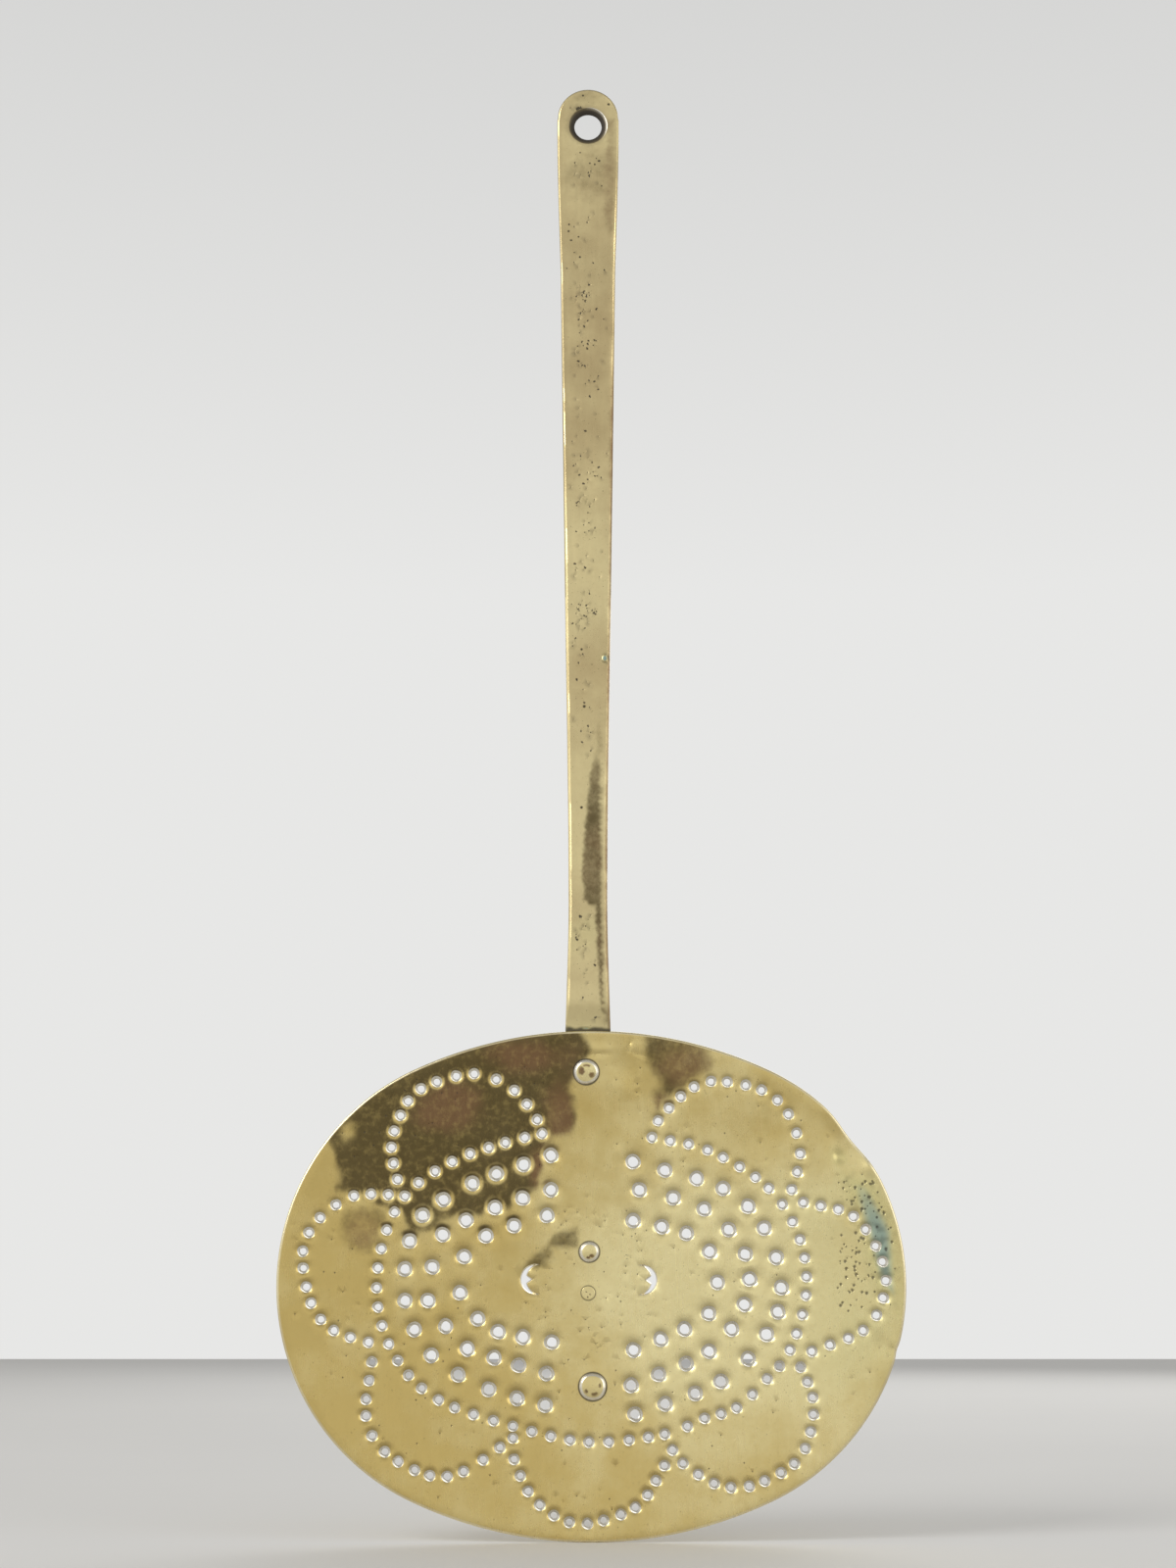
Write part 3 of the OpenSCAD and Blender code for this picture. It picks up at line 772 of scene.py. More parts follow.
# (share of the way from the hole down to the rim, width)
WIDTHS = ((-0.1, 25.8), (0.03, 26.0), (0.17, 23.03), (0.5, 19.4), (0.86, 15.7), (1.0, 18.0))


def curve_through(stops, at):
    """A smooth curve through (place, value) stops, as a Catmull-Rom spline in the stops' own order."""
    stops = np.array(stops, float)
    ends = np.vstack([2 * stops[0] - stops[1], stops, 2 * stops[-1] - stops[-2]])
    i = np.clip(np.searchsorted(stops[:, 0], at, side="right") - 1, 0, len(stops) - 2)
    t = (at - stops[i, 0]) / (stops[i + 1, 0] - stops[i, 0])
    a, b, c, d = (ends[i + k, 1] for k in range(4))
    return 0.5 * (2 * b + (c - a) * t + (2 * a - 5 * b + 4 * c - d) * t**2 + (3 * b - a - 3 * c + d) * t**3)


def strap_back(z):
    return DISH_Y + np.sqrt(STRAP_R**2 - (z - BLADE_Z) ** 2)


BAR_FOOT = RIM_Z + BEND_L
RIM_BACK_Y = float(strap_back(np.array(RIM_Z)))
RIM_SLOPE = -(RIM_Z - BLADE_Z) / math.sqrt(STRAP_R**2 - (RIM_Z - BLADE_Z) ** 2)
BAR_FOOT_Y = RIM_BACK_Y - BEND_OFFSET
BAR_SLOPE = -BAR_FOOT_Y / (EYE_FLAT - BAR_FOOT)


def handle_back(z):
    t = np.clip((z - RIM_Z) / BEND_L, 0.0, 1.0)
    bend = (
        (2 * t**3 - 3 * t**2 + 1) * RIM_BACK_Y + (t**3 - 2 * t**2 + t) * BEND_L * RIM_SLOPE
        + (3 * t**2 - 2 * t**3) * BAR_FOOT_Y + (t**3 - t**2) * BEND_L * BAR_SLOPE
    )
    straight = BAR_FOOT_Y + (z - BAR_FOOT) * BAR_SLOPE
    low = np.where(z <= RIM_Z, strap_back(np.minimum(z, RIM_Z)), bend)
    return np.where(z > EYE_FLAT, 0.0, np.where(z > BAR_FOOT, straight, low))


def handle_thickness(z):
    step = smooth(RIM_Z + STEP_FROM, RIM_Z + STEP_TO, z)
    return STRAP_T + (BAR_T - STRAP_T) * step + (EYE_T - BAR_T) * smooth(BAR_FOOT, EYE_FLAT, z)


def half_width(z):
    down = np.clip((RIM_Z - z) / (RIM_Z - STRAP_FOOT), 0.0, 1.0)
    strap = (NECK_W + (STRAP_W - NECK_W) * np.minimum(down * 2, 1.0)) / 2
    rounding = np.clip((z - STRAP_FOOT) / STRAP_ROUND, 0.0, 1.0)
    strap = strap * np.sqrt(1.0 - (1.0 - rounding) ** 2)
    return np.where(z <= RIM_Z, strap, curve_through(WIDTHS, z / RIM_Z) / 2)


def bevel_share(z):
    return smooth(RIM_Z, RIM_Z + STEP_TO, z) * (1.0 - 0.4 * smooth(-200.0, EYE_FLAT, z))


HANDLE_STEP = 1.3


def handle_outline():
    """The handle's widest outline, anticlockwise from the strap's foot, with its outward directions."""
    quarter = np.radians(np.linspace(0.0, 90.0, 12))[1:-1]
    low = np.column_stack((STRAP_W / 2 * np.sin(quarter), STRAP_FOOT + STRAP_ROUND * (1 - np.cos(quarter))))
    zs = np.arange(STRAP_FOOT + STRAP_ROUND, EYE_Z - 0.6, HANDLE_STEP)
    side = np.column_stack((half_width(zs), zs))
    count = round(math.pi * EYE_R / 1.0)
    angles = math.pi * np.arange(count + 1) / count
    eye = np.column_stack((EYE_R * np.cos(angles), EYE_Z + EYE_R * np.sin(angles)))
    left = np.vstack([low, side])[::-1] * (-1.0, 1.0)
    loop = np.vstack([[(0.0, STRAP_FOOT)], low, side, eye, left])
    along = np.roll(loop, -1, axis=0) - np.roll(loop, 1, axis=0)
    along /= np.linalg.norm(along, axis=1)[:, None]
    return loop, np.column_stack((along[:, 1], -along[:, 0]))


# Casting pits on the handle: (middle height, spread in height, middle x, spread in x, how many).
PIT_GROUPS = (
    (-60.0, 12.0, -1.0, 5.0, 14), (-76.0, 5.0, -2.5, 2.2, 22), (-87.0, 7.0, -1.0, 4.5, 26),
    (-105.0, 10.0, -2.0, 4.5, 20), (-125.0, 12.0, -1.5, 4.5, 14), (-152.0, 7.0, -1.5, 5.0, 26),
    (-165.0, 8.0, -2.0, 4.0, 12), (-180.0, 9.0, -1.5, 3.5, 18), (-200.0, 10.0, -2.0, 4.0, 12),
    (-212.0, 5.0, -3.5, 2.5, 24), (-222.0, 8.0, -2.0, 4.0, 16), (-250.0, 14.0, -1.5, 3.5, 12),
    (-275.0, 14.0, -2.0, 3.5, 10), (-345.0, 5.0, -2.0, 2.2, 16), (-352.0, 4.0, -4.0, 2.0, 10),
    (-366.0, 10.0, -1.0, 4.5, 12), (-20.0, 14.0, 3.0, 5.0, 10), (-40.0, 14.0, -3.0, 5.0, 8),
    (8.2, 0.7, -3.4, 1.6, 9),
)
SINGLE_PITS = (
    (0.8, -17.0, 0.42), (2.9, -17.5, 0.45), (-3.3, -12.2, 0.35), (5.8, -27.2, 0.35), (-8.0, -44.5, 0.45),
    (-8.2, -47.5, 0.5), (-2.1, 13.7, 0.5), (8.8, 9.7, 0.6), (-4.6, 7.6, 0.7), (-3.4, 7.7, 0.5),
    (-3.4, -59.0, 0.5), (-4.0, -50.0, 0.4), (-2.6, -230.0, 0.5), (-1.5, -254.0, 0.65), (-2.6, -296.0, 0.6),
)
MIN_PIT, MAX_PIT = 0.16, 0.5


def handle_pits():
    rng = np.random.default_rng(77)
    pits = [(np.array((x, z)), radius, radius * 0.7) for x, z, radius in SINGLE_PITS]
    for z, dz, x, dx, count in PIT_GROUPS:
        for _ in range(count):
            at = np.array((rng.normal(x, dx), rng.normal(z, dz)))
            radius = MIN_PIT + (MAX_PIT - MIN_PIT) * rng.uniform() ** 2.2
            pits.append((at, radius, radius * rng.uniform(0.4, 0.8)))
            if radius > 0.32:
                turn = rng.uniform(0.0, 2 * math.pi)
                beside = at + 1.1 * radius * np.array((math.cos(turn), math.sin(turn)))
                pits.append((beside, radius * 0.7, radius * 0.4))
    return [
        pit for pit in pits
        if abs(pit[0][0]) < float(half_width(pit[0][1:])[0]) - 2.6 and np.linalg.norm(pit[0]) > MOUTH_R + 0.2
        and (pit[0][1] < EYE_Z or np.linalg.norm(pit[0] - (0, EYE_Z)) < EYE_R - 1.6)
    ]


HANDLE_PITS = handle_pits()
LUMP_AT = (6.9, -233.8)
# (middle, radii, turn, height) of hammer marks on the lower bar.
WOBBLES = (
    ((-1.5, -318.0), (1.6, 6.0), 6.0, 0.14), ((1.2, -326.0), (1.2, 7.0), -5.0, 0.12),
    ((0.5, -312.0), (2.2, 2.2), 0.0, -0.12), ((-0.5, -335.0), (3.5, 1.2), 10.0, 0.12),
    ((2.5, -305.0), (1.4, 9.0), 3.0, -0.1), ((3.2, -290.0), (2.2, 26.0), 2.0, -0.16),
    ((3.8, -358.0), (1.8, 18.0), -1.0, -0.12), ((0.0, -380.0), (7.0, 3.0), 0.0, -0.15),
)


def handle_front(p):
    z = p[:, 1]
    y = handle_back(z) - handle_thickness(z)
    height = 0.05 * (hills(p, 17.0, 51) - 1.0) + 0.02 * (hills(p, 6.0, 52) - 1.0)
    for at, radii, turn, up in WOBBLES:
        height += up * bump(p, at, radii, turn)
    height += 0.55 * bump(p, LUMP_AT, (1.1, 1.4)) * (1.0 + 0.4 * hills(p, 0.9, 53))
    away = smooth(STEP_FROM, STEP_TO, z - RIM_Z)
    return y - height * away + hollow(p, HANDLE_PITS) * away


STREAK = (
    (5.0, -246), (3.4, -265), (0.6, -282), (-1.4, -304), (-2.4, -318), (-2.0, -333), (3.0, -339),
    (3.6, -352), (4.2, -370), (6.6, -384), (6.4, -360), (5.9, -338), (5.3, -318), (5.0, -296), (5.7, -262),
)
# A darker, redder patch on the right of the eye.
EYE_RIGHT_DARKENING = ((7, 6), (11.5, 2), (12.2, -14), (11.0, -44), (9, -52), (6, -38), (6.5, -14), (8.6, -4))


def handle_marks(p):
    x, z = p[:, 0], p[:, 1]
    wavy = p + np.column_stack((0.5 * hills(p, 3.0, 61), 2.5 * hills(p, 3.0, 62)))
    stain_and_shade = 0.72 * patch(wavy, STREAK, 0.9) * smooth(-240.0, -300.0, z)
    stain_and_shade = np.maximum(stain_and_shade, 0.42 * patch(wavy, EYE_RIGHT_DARKENING, 2.2))
    stain_and_shade = np.maximum(stain_and_shade, 0.30 * smooth(0.1, 0.8, hills(p, 22.0, 63)) * smooth(-120.0, -20.0, z))
    # Painted shade: the right edge darker and redder, from a little below the eye downwards.
    edge = smooth(-2.2, -0.4, np.abs(x) - half_width(z)) * smooth(-60.0, -130.0, z)
    right = edge * (x > 0)
    stain_and_shade = np.maximum(stain_and_shade, 0.62 * right)
    red = np.maximum(np.maximum(right, patch(wavy, EYE_RIGHT_DARKENING, 2.2)), 0.3)
    pits = hollow(p, [(at, radius * 1.2, 1.0) for at, radius, _ in HANDLE_PITS])
    dirt_and_shade = 0.92 * smooth(0.1, 0.6, pits)
    # Painted shade in the gap where the handle meets the blade's rim, with real verdigris.
    junction = smooth(RIM_Z + 2.2, RIM_Z + 0.6, z + 0.5 * hills(p, 2.5, 64)) * (z > RIM_Z - 1.0)
    dirt_and_shade = np.maximum(dirt_and_shade, 0.9 * junction)
    dirt_and_shade = np.maximum(dirt_and_shade, 0.85 * bump(p, (-3.6, 7.9), (2.6, 0.9), -4.0))
    dirt_and_shade = np.maximum(dirt_and_shade, 0.5 * (1.0 - smooth(MOUTH_R, MOUTH_R + 0.8, np.linalg.norm(p, axis=1))))
    green = np.maximum(bump(p, LUMP_AT, (1.7, 2.0)), 0.9 * bump(p, (-0.8, RIM_Z + 1.1), (2.4, 0.6)))
    green = np.maximum(green, 0.35 * junction)
    green = np.maximum(green, 0.22 * smooth(-240.0, -300.0, z) * smooth(0.0, 0.8, hills(p, 15.0, 65)))
    pale = 0.45 + 0.35 * hills(p, 30.0, 66) + 0.25 * smooth(-60.0, -200.0, z)
    dirt_and_shade = np.maximum(dirt_and_shade * (1.0 - 0.8 * smooth(0.5, 0.9, green)), 0.5 * smooth(0.2, 0.5, green) * (green < 0.6))
    return marks(len(p), stain_and_shade=stain_and_shade, red=red, pale=pale, dirt_and_shade=dirt_and_shade, green=green)


def handle_back_marks(p):
    stain_and_shade = 0.35 + 0.3 * hills(p, 24.0, 71) + 0.15 * hills(p, 7.0, 72)
    return marks(len(p), stain_and_shade=0.6 * smooth(0.1, 0.9, stain_and_shade), red=0.5, pale=0.3, dirt_and_shade=0.25 * smooth(0.4, 0.9, hills(p, 2.0, 73)))


# (share of the bevel's width, share of its depth), then (inset, distance from the back) down to the back face.
BEVEL_ROUND = ((0.86, 0.04), (0.5, 0.42), (0.14, 0.84))
SIDE_ROUND = ((0.02, 2.0), (0.0, 0.9), (0.06, 0.4), (0.25, 0.1))
BACK_INSET = 0.55


def on_handle(p, y):
    return np.column_stack((p[:, 0], y, p[:, 1]))


def build_handle(material):
    outline, outward = handle_outline()
    share = bevel_share(outline[:, 1])
    bevel_w = np.maximum(BEVEL_W * share, BROKEN_EDGE)
    bevel_d = np.maximum(BEVEL_D * share, BROKEN_EDGE)

    def inset(amount):
        return outline - outward * np.broadcast_to(amount, (len(outline),))[:, None]

    loops = [inset(bevel_w * 1.12), ring((0.0, 0.0), MOUTH_R + 0.35, 56)]
    rivets = [(RIVET_AT[name], 2.75 if name == "flush_rivet" else 2.5) for name in RIVETS]
    rivets = [(np.array((at[0] + BLADE_X, at[1] + BLADE_Z)), radius + SEAT_GAP) for at, radius in rivets]
    loops += [ring(at, radius, 24) for at, radius in rivets]

    loose = [np.vstack([at[None], ring(at, r * 0.55, 6), ring(at, r, 9), ring(at, r * 1.4, 8)]) for at, r, _ in HANDLE_PITS]
    fine = [grid((4.6, -238.0), (9.5, -230.0), 0.35), grid((-9.0, RIM_Z), (9.0, RIM_Z + 3.0), 0.6)]
    coarse = grid((-13.0, STRAP_FOOT), (13.0, HANDLE_HIGH[2]), 1.5)

    def room(p, gap):
        good = inside(p, inset(bevel_w * 1.12 + gap)) & (np.linalg.norm(p, axis=1) > MOUTH_R + 0.35 + gap)
        for at, radius in rivets:
            good &= np.linalg.norm(p - at, axis=1) > radius + gap
        return p[good]

    groups = [room(np.vstack(loose), 0.2), room(np.vstack(fine), 0.3), room(coarse, 0.9)]
    flat, faces = triangulate(loops, thinned(groups, (0.13, 0.3, 0.9)))
    count = len(outline)
    behind = flat.copy()
    behind[:count] = inset(BACK_INSET)
    mouth = np.arange(count, count + 56)
    behind[mouth] = ring((0.0, 0.0), HANG_R + 0.3, 56)
    y_front, y_back = handle_front(flat), handle_back(behind[:, 1])
    shell = Shell()
    front = shell.add(on_handle(flat, y_front), handle_marks(flat))
    back = shell.add(on_handle(behind, y_back), handle_back_marks(behind))
    shell.faces += (faces + front).tolist()
    shell.faces += (faces[:, ::-1] + back).tolist()

    rows = [np.arange(count) + front]
    for width_share, depth_share in BEVEL_ROUND:
        edge = inset(bevel_w * width_share)
        y = handle_back(edge[:, 1]) - handle_thickness(edge[:, 1]) + bevel_d * depth_share
        worn_and_lit = handle_marks(edge)
        rows.append(np.arange(count) + shell.add(on_handle(edge, y), worn_and_lit))
    for amount, from_back in SIDE_ROUND:
        edge = inset(amount)
        thick = handle_thickness(edge[:, 1])
        y = handle_back(edge[:, 1]) - np.minimum(from_back, (thick - bevel_d) * from_back / 2.2)
        # Painted shade: the right side darker than the left.
        worn_and_lit = marks(count, stain_and_shade=0.35 + 0.3 * (edge[:, 0] > 0), red=0.7, pale=0.3, dirt_and_shade=0.1)
        rows.append(np.arange(count) + shell.add(on_handle(edge, y), worn_and_lit))
    rows.append(np.arange(count) + back)
    shell.wall(rows, flip=True)

    # The hanging hole: a rubbed lip with a painted highlight on its upper right side, the countersink and the straight
    # bore, darkened all round below the lip.
    rows = [mouth + front]
    angles = 2 * math.pi * np.arange(56) / 56
    # A painted highlight on the lip's upper right side.
    lit_side = smooth(0.2, 0.95, np.cos(angles - math.radians(28.0)))
    wall = (
        (MOUTH_R + 0.1, 0.06, 0.15, 0.9), (MOUTH_R - 0.2, 0.22, 0.7, 0.5), (MOUTH_R - 1.1, 0.75, 0.95, 0.0),
        (HANG_R + 0.15, 1.38, 0.97, 0.0), (HANG_R, 1.6, 0.95, 0.0), (HANG_R, 2.5, 0.9, 0.0), (HANG_R + 0.08, 2.7, 0.8, 0.0),
    )
    for radius, depth, grime_and_shade, shine in wall:
        edge = ring((0.0, 0.0), radius, 56)
        worn_and_lit = marks(56, stain_and_shade=0.6, red=0.4, pale=0.7, bright=shine * lit_side, dirt_and_shade=grime_and_shade * (1 - 0.9 * shine * lit_side))
        rows.append(np.arange(56) + shell.add(on_handle(edge, np.full(56, depth - EYE_T)), worn_and_lit))
    rows.append(mouth + back)
    shell.wall(rows)

    first = count + 56
    for _ in rivets:
        here = np.arange(first, first + 24)
        first += 24
        shell.wall([here + front, here + back])
    return shell.build("handle_bar", material)


# Rivets: a turned outline of (radius, height above the blade's face), from the head's middle to the tail's.
TAIL_H, TAIL_R = 1.3, 4.3
SHANK_R = 2.5
RIVET_SIDES = 56
TAIL_FROM = -(SHEET_T + STRAP_T + 2 * SEAT_GAP)


def head_outline(radius):
    return (
        (0.0, 1.27), (0.18 * radius, 1.26), (0.36 * radius, 1.22), (0.54 * radius, 1.15), (radius - 1.5, 1.05),
        (radius - 1.12, 0.98), (radius - 0.86, 0.86), (radius - 0.55, 0.62), (radius - 0.28, 0.34),
        (radius - 0.08, 0.14), (radius, SEAT_GAP + 0.05), (radius - 0.06, SEAT_GAP), (SHANK_R + 0.3, SEAT_GAP),
    )


def flush_outline():
    return ((0.0, -0.02), (0.8, -0.02), (1.6, -0.02), (2.2, -0.02), (FLUSH_R - 0.12, -0.03), (FLUSH_R, -0.12))


def tail_outline(shank):
    return (
        (shank, TAIL_FROM * 0.5), (shank, TAIL_FROM), (TAIL_R - 0.1, TAIL_FROM), (TAIL_R, TAIL_FROM - 0.15),
        (TAIL_R - 0.1, TAIL_FROM - 0.4), (0.78 * TAIL_R, TAIL_FROM - 0.8), (0.5 * TAIL_R, TAIL_FROM - 1.12),
        (0.22 * TAIL_R, TAIL_FROM - 1.27), (0.0, TAIL_FROM - TAIL_H + 0.01),
    )


# (rivet, dark marks on its head as (middle, radii, turn)): on the domed heads they are painted reflections of the dark
# floor, on the flush rivet dark pits.
HEAD_REFLECTIONS_AND_PITS = {
    "top_rivet": (((-2.0, 0.6), (1.6, 2.3), 10.0), ((2.2, -1.2), (1.5, 1.4), 40.0), ((0.2, 2.6), (2.0, 0.8), 0.0)),
    "middle_rivet": (((1.0, -1.5), (1.3, 0.9), -20.0), ((-0.4, -2.2), (1.0, 0.6), 0.0)),
    "bottom_rivet": (((0.8, -2.9), (1.8, 1.0), 10.0), ((-2.6, -1.8), (0.9, 1.2), 30.0), ((3.0, 0.5), (0.7, 1.2), 0.0)),
    "flush_rivet": (((-0.9, 0.5), (0.5, 0.4), 0.0), ((0.8, -0.7), (0.45, 0.5), 0.0), ((-0.2, -1.5), (0.4, 0.3), 0.0)),
}


def build_rivet(name, material):
    at = RIVET_AT[name]
    foot = np.array((at[0] + BLADE_X, float(dish(at[None])[0]), at[1] + BLADE_Z))
    inward = DISH_CENTRE - foot
    inward /= np.linalg.norm(inward)
    right = np.cross(inward, (0.0, 0.0, 1.0))
    right /= np.linalg.norm(right)
    right *= np.sign(right[0])
    up = np.cross(right, -inward)
    up *= np.sign(up[2])
    flush = name == "flush_rivet"
    radius = FLUSH_R if flush else HEAD_R[name]
    outline = (flush_outline() if flush else head_outline(radius)) + tail_outline(FLUSH_R if flush else SHANK_R)
    angles = 2 * math.pi * np.arange(RIVET_SIDES) / RIVET_SIDES
    rng = np.random.default_rng(len(name) + int(100 + at[1]))
    lobes, phases = rng.uniform(0.004, 0.016, 3), rng.uniform(0.0, 6.28, 3)
    wobble = 1.0 - sum(lobe * (1 + np.cos((k + 2) * angles + phase)) for k, (lobe, phase) in enumerate(zip(lobes, phases)))
    shell = Shell()
    rows = []
    for r, height in outline:
        sides = 1 if r == 0.0 else RIVET_SIDES
        keep_round = 1.0 if flush and height > TAIL_FROM else wobble
        flat = np.column_stack((np.cos(angles), np.sin(angles)))[:sides] * (r * np.broadcast_to(keep_round, (RIVET_SIDES,))[:sides])[:, None]
        head = height > SEAT_GAP or (flush and height > -0.1)
        in_front = height > TAIL_FROM / 2
        dent = 0.03 * hills(flat + at, 2.3, 81) * head * (0.0 if flush else 1.0)
        reflection_and_pit = np.zeros(sides)
        for middle, radii, turn in HEAD_REFLECTIONS_AND_PITS[name]:
            reflection_and_pit = np.maximum(reflection_and_pit, bump(flat, middle, radii, turn))
        highlight_ring = 0.0 if flush else float(smooth(radius - 1.25, radius - 0.95, r)) * float(smooth(radius + 0.01, radius - 0.1, r))
        # Painted reflections as dark marks on the domed heads, pits on the flush rivet, a painted silver highlight on
        # each dome's shoulder ring, and painted shade at the foot of each head's edge.
        worn_and_lit = marks(
            sides, stain_and_shade=0.85 * smooth(0.3, 0.75, reflection_and_pit) * head * (1 - highlight_ring), red=0.7, pale=0.65,
            bright=0.95 * highlight_ring * head,
            dirt_and_shade=0.8 * in_front * (r > radius - 0.09) + 0.5 * flush * head * smooth(0.5, 0.9, reflection_and_pit),
        )
        points = foot + flat[:, :1] * right + flat[:, 1:] * up + (height + dent)[:, None] * inward
        rows.append(shell.add(points, worn_and_lit) + np.arange(sides))
    for upper, lower in zip(rows, rows[1:]):
        for i in range(RIVET_SIDES):
            j = (i + 1) % RIVET_SIDES
            if len(upper) == 1:
                shell.faces.append((upper[0], lower[i], lower[j]))
            elif len(lower) == 1:
                shell.faces.append((upper[j], upper[i], lower[0]))
            else:
                shell.faces.append((upper[i], lower[i], lower[j], upper[j]))
    return shell.build(name + "_head", material)


# Materials.
class Nodes:
    """A short way to build a material's nodes."""

    def __init__(self, name):
        self.material = bpy.data.materials.new(name)
        self.material.use_nodes = True
        self.tree = self.material.node_tree
        self.shader = self.tree.nodes["Principled BSDF"]

    def add(self, kind, **values):
        node = self.tree.nodes.new(kind)
        for key, value in values.items():
            if key in node.inputs:
                node.inputs[key].default_value = value
            else:
                setattr(node, key, value)
        return node

    def link(self, a, b):
        self.tree.links.new(a, b)

    def put(self, value, socket):
        if isinstance(value, bpy.types.NodeSocket):
            self.link(value, socket)
        elif isinstance(value, tuple):
            socket.default_value = (*value, 1.0)
        else:
            socket.default_value = value

    def place(self, stretch=None):
        place = self.add("ShaderNodeTexCoord").outputs["Object"]
        if stretch is None:
            return place
        mapping = self.add("ShaderNodeMapping")
        mapping.inputs["Scale"].default_value = stretch
        self.link(place, mapping.inputs["Vector"])
        return mapping.outputs["Vector"]

    def noise(self, scale, detail=4.0, roughness=0.55, stretch=None):
        node = self.add("ShaderNodeTexNoise", Scale=scale, Detail=detail, Roughness=roughness)
        self.link(self.place(stretch), node.inputs["Vector"])
        return node.outputs["Fac"]

    def spread(self, value, low, high, to_low=0.0, to_high=1.0):
        node = self.add("ShaderNodeMapRange", interpolation_type="SMOOTHSTEP")
        self.link(value, node.inputs["Value"])
        for key, number in (("From Min", low), ("From Max", high), ("To Min", to_low), ("To Max", to_high)):
            self.put(number, node.inputs[key])
        return node.outputs["Result"]

    def math(self, operation, a, b):
        node = self.add("ShaderNodeMath", operation=operation)
        self.put(a, node.inputs[0])
        self.put(b, node.inputs[1])
        return node.outputs[0]

    def mix(self, share, a, b):
        node = self.add("ShaderNodeMix", data_type="RGBA")
        for value, socket in ((share, node.inputs[0]), (a, node.inputs[6]), (b, node.inputs[7])):
            self.put(value, socket)
        return node.outputs[2]

    def marks(self, name):
        node = self.add("ShaderNodeAttribute", attribute_name=name)
        split = self.add("ShaderNodeSeparateColor")
        self.link(node.outputs["Color"], split.inputs[0])
        return split.outputs[0], split.outputs[1], split.outputs[2]


def brass(name, dark, light, polish, scratch_stretch):
    """Old brass: the marks painted on the corners, real stains and dirt together with painted reflections, highlights
    and shade, broken up by finer clouds, scratches and specks.
    """
    n = Nodes(name)
    stain_and_shade, red, pale = n.marks("tones")
    bright, dirt_and_shade, green = n.marks("wear_and_light")
    clouds = n.noise(45.0, 6.0, 0.6)
    fine = n.noise(420.0, 4.0, 0.6)
    scratches = n.noise(700.0, 3.0, 0.5, scratch_stretch)

    # Paleness, which on the blade is a painted reflection.
    tone = n.math("ADD", pale, n.spread(clouds, 0.25, 0.75, -0.22, 0.22))
    colour = n.mix(n.spread(tone, 0.0, 1.0), dark, light)
    colour = n.mix(n.math("MULTIPLY", n.spread(fine, 0.35, 0.75), 0.16), colour, dark)
    colour = n.mix(n.math("MULTIPLY", green, n.spread(clouds, 0.3, 0.7, 0.35, 0.9)), colour, GREEN_BRASS)
    # Stains, together with the painted dark reflections and painted shade that the stain mark carries.
    broken = n.math("ADD", stain_and_shade, n.spread(n.noise(160.0, 5.0, 0.65), 0.2, 0.8, -0.16, 0.16))
    stained_and_shaded = n.math("MULTIPLY", n.spread(broken, 0.08, 0.9), n.spread(stain_and_shade, 0.0, 0.1))
    stain_and_shade_colour = n.mix(n.spread(n.math("ADD", red, n.spread(clouds, 0.3, 0.7, -0.2, 0.2)), 0.2, 0.9), OLIVE_STAIN_AND_SHADE, RED_STAIN_AND_SHADE)
    stain_and_shade_colour = n.mix(n.math("MULTIPLY", n.spread(fine, 0.45, 0.8), 0.3), stain_and_shade_colour, dark)
    colour = n.mix(n.math("MULTIPLY", stained_and_shaded, 0.93), colour, stain_and_shade_colour)
    # Painted silver highlights.
    colour = n.mix(bright, colour, SILVER)
    lumps = n.spread(green, 0.62, 0.92)
    colour = n.mix(lumps, colour, VERDIGRIS)
    specks = n.spread(n.noise(1500.0, 2.0), 0.27, 0.31, 1.0, 0.0)
    # Dirt and painted shade, with specks of grime.
    grime_and_shade = n.math("MAXIMUM", dirt_and_shade, n.math("MULTIPLY", specks, 0.55))
    colour = n.mix(grime_and_shade, colour, DIRT_AND_SHADE)
    n.link(colour, n.shader.inputs["Base Color"])

    dull = n.math("MAXIMUM", n.math("MULTIPLY", dirt_and_shade, 0.75), lumps)
    n.link(n.math("SUBTRACT", 1.0, dull), n.shader.inputs["Metallic"])
    rough = n.spread(clouds, 0.25, 0.75, polish - 0.05, polish + 0.09)
    rough = n.math("ADD", rough, n.spread(scratches, 0.35, 0.7, 0.0, 0.07))
    rough = n.math("ADD", rough, n.math("MULTIPLY", dull, 0.4))
    n.link(rough, n.shader.inputs["Roughness"])

    surface = n.math("ADD", n.math("MULTIPLY", scratches, 0.35), n.math("MULTIPLY", fine, 0.65))
    relief = n.add("ShaderNodeBump", Strength=0.22, Distance=0.00012)
    n.link(surface, relief.inputs["Height"])
    n.link(relief.outputs["Normal"], n.shader.inputs["Normal"])
    return n.material


def floor_finish():
    n = Nodes("floor")
    n.link(n.mix(n.noise(3.0), FLOOR_COLOUR, tuple(1.05 * c for c in FLOOR_COLOUR)), n.shader.inputs["Base Color"])
    n.shader.inputs["Roughness"].default_value = 0.85
    return n.material


# Staging: floor, world, soft lights and the camera. Metres.
FLOOR_SIZE = 6.0


def make_floor():
    half = FLOOR_SIZE / 2
    z = cad_box[0][2]
    mesh = bpy.data.meshes.new("floor")
    mesh.from_pydata([(-half, -half, z), (half, -half, z), (half, half, z), (-half, half, z)], [], [(0, 1, 2, 3)])
    mesh.materials.append(floor_finish())
    floor = bpy.data.objects.new("floor", mesh)
    bpy.context.collection.objects.link(floor)


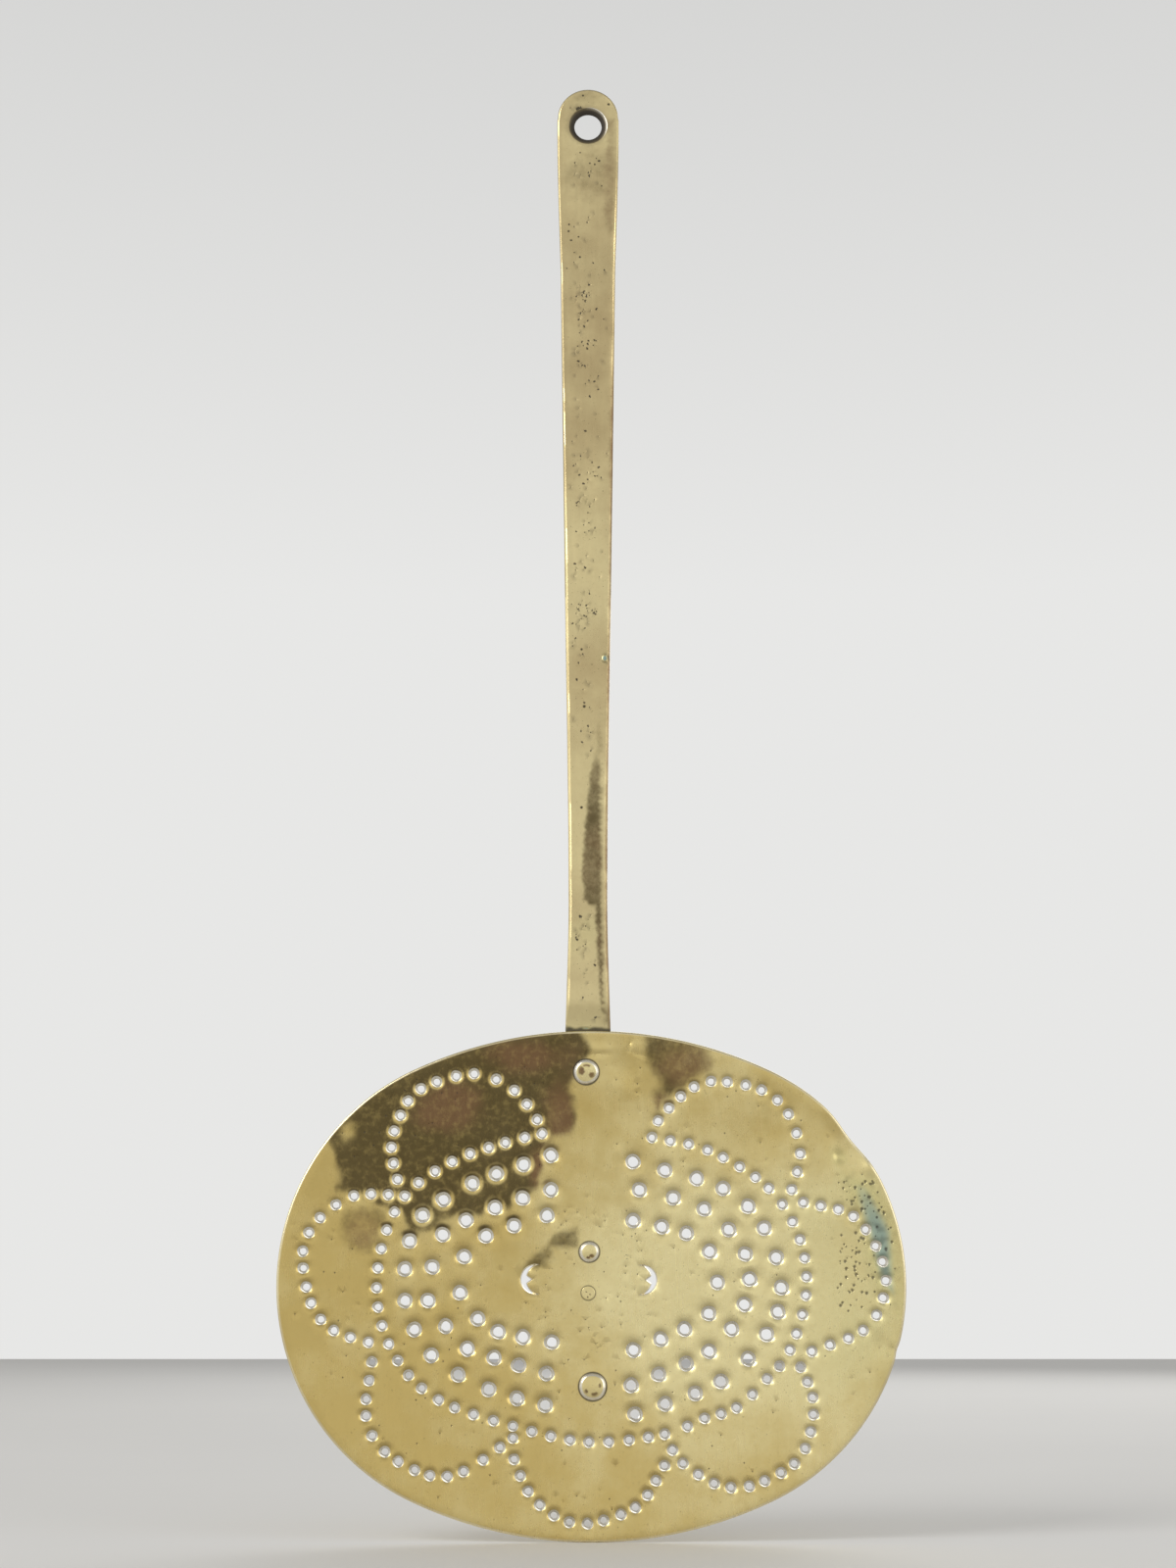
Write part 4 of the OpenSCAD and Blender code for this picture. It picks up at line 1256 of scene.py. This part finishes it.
def make_world():
    """A pale studio, a little darker overhead, so that the metal has something to reflect."""
    world = bpy.data.worlds.new("studio")
    world.use_nodes = True
    tree = world.node_tree
    place = tree.nodes.new("ShaderNodeTexCoord")
    split = tree.nodes.new("ShaderNodeSeparateXYZ")
    ramp = tree.nodes.new("ShaderNodeValToRGB")
    tree.links.new(place.outputs["Generated"], split.inputs[0])
    tree.links.new(split.outputs["Z"], ramp.inputs["Fac"])
    stops = ((0.0, BACKGROUND), (0.25, BACKGROUND), (0.8, tuple(0.55 * c for c in BACKGROUND)))
    while len(ramp.color_ramp.elements) < len(stops):
        ramp.color_ramp.elements.new(0.5)
    for element, (position, colour) in zip(ramp.color_ramp.elements, stops):
        element.position = position
        element.color = (*colour, 1.0)
    tree.links.new(ramp.outputs["Color"], tree.nodes["Background"].inputs["Color"])
    tree.nodes["Background"].inputs["Strength"].default_value = 1.0
    bpy.context.scene.world = world


def soft_light(name, place, size, power):
    data = bpy.data.lights.new(name, "AREA")
    data.shape = "SQUARE"
    data.size = size
    data.energy = power
    lamp = bpy.data.objects.new(name, data)
    lamp.location = place
    middle = Vector((0.0, 0.0, -0.35))
    lamp.rotation_euler = (middle - Vector(place)).to_track_quat("-Z", "Y").to_euler()
    bpy.context.collection.objects.link(lamp)


def make_camera():
    data = bpy.data.cameras.new("camera")
    data.lens = CAMERA_LENS
    data.sensor_width = SENSOR
    camera = bpy.data.objects.new("camera", data)
    camera.location = CAMERA_AT
    camera.rotation_euler = (math.radians(90.0 + CAMERA_TILT), 0.0, 0.0)
    bpy.context.collection.objects.link(camera)
    bpy.context.scene.camera = camera


make_camera()
make_world()
make_floor()
soft_light("key", (-1.7, -1.5, 0.9), 1.3, 30.0)
soft_light("fill", (1.7, -1.3, 0.2), 1.5, 7.0)
soft_light("back", (0.6, 1.8, 0.7), 1.6, 12.0)

blade_finish = brass("blade_brass", WARM_BRASS, PALE_BRASS, 0.2, (1.0, 1.0, 0.06))
handle_finish = brass("handle_brass", HANDLE_DARK, HANDLE_LIGHT, 0.28, (1.0, 1.0, 0.05))
rivet_finish = brass("rivet_brass", WARM_BRASS, PALE_BRASS, 0.16, (1.0, 1.0, 1.0))
put_up(build_blade(blade_finish), "blade")
put_up(build_handle(handle_finish), "handle")
for rivet in RIVETS:
    put_up(build_rivet(rivet, rivet_finish), rivet)

bpy.context.scene.view_settings.view_transform = "Standard"
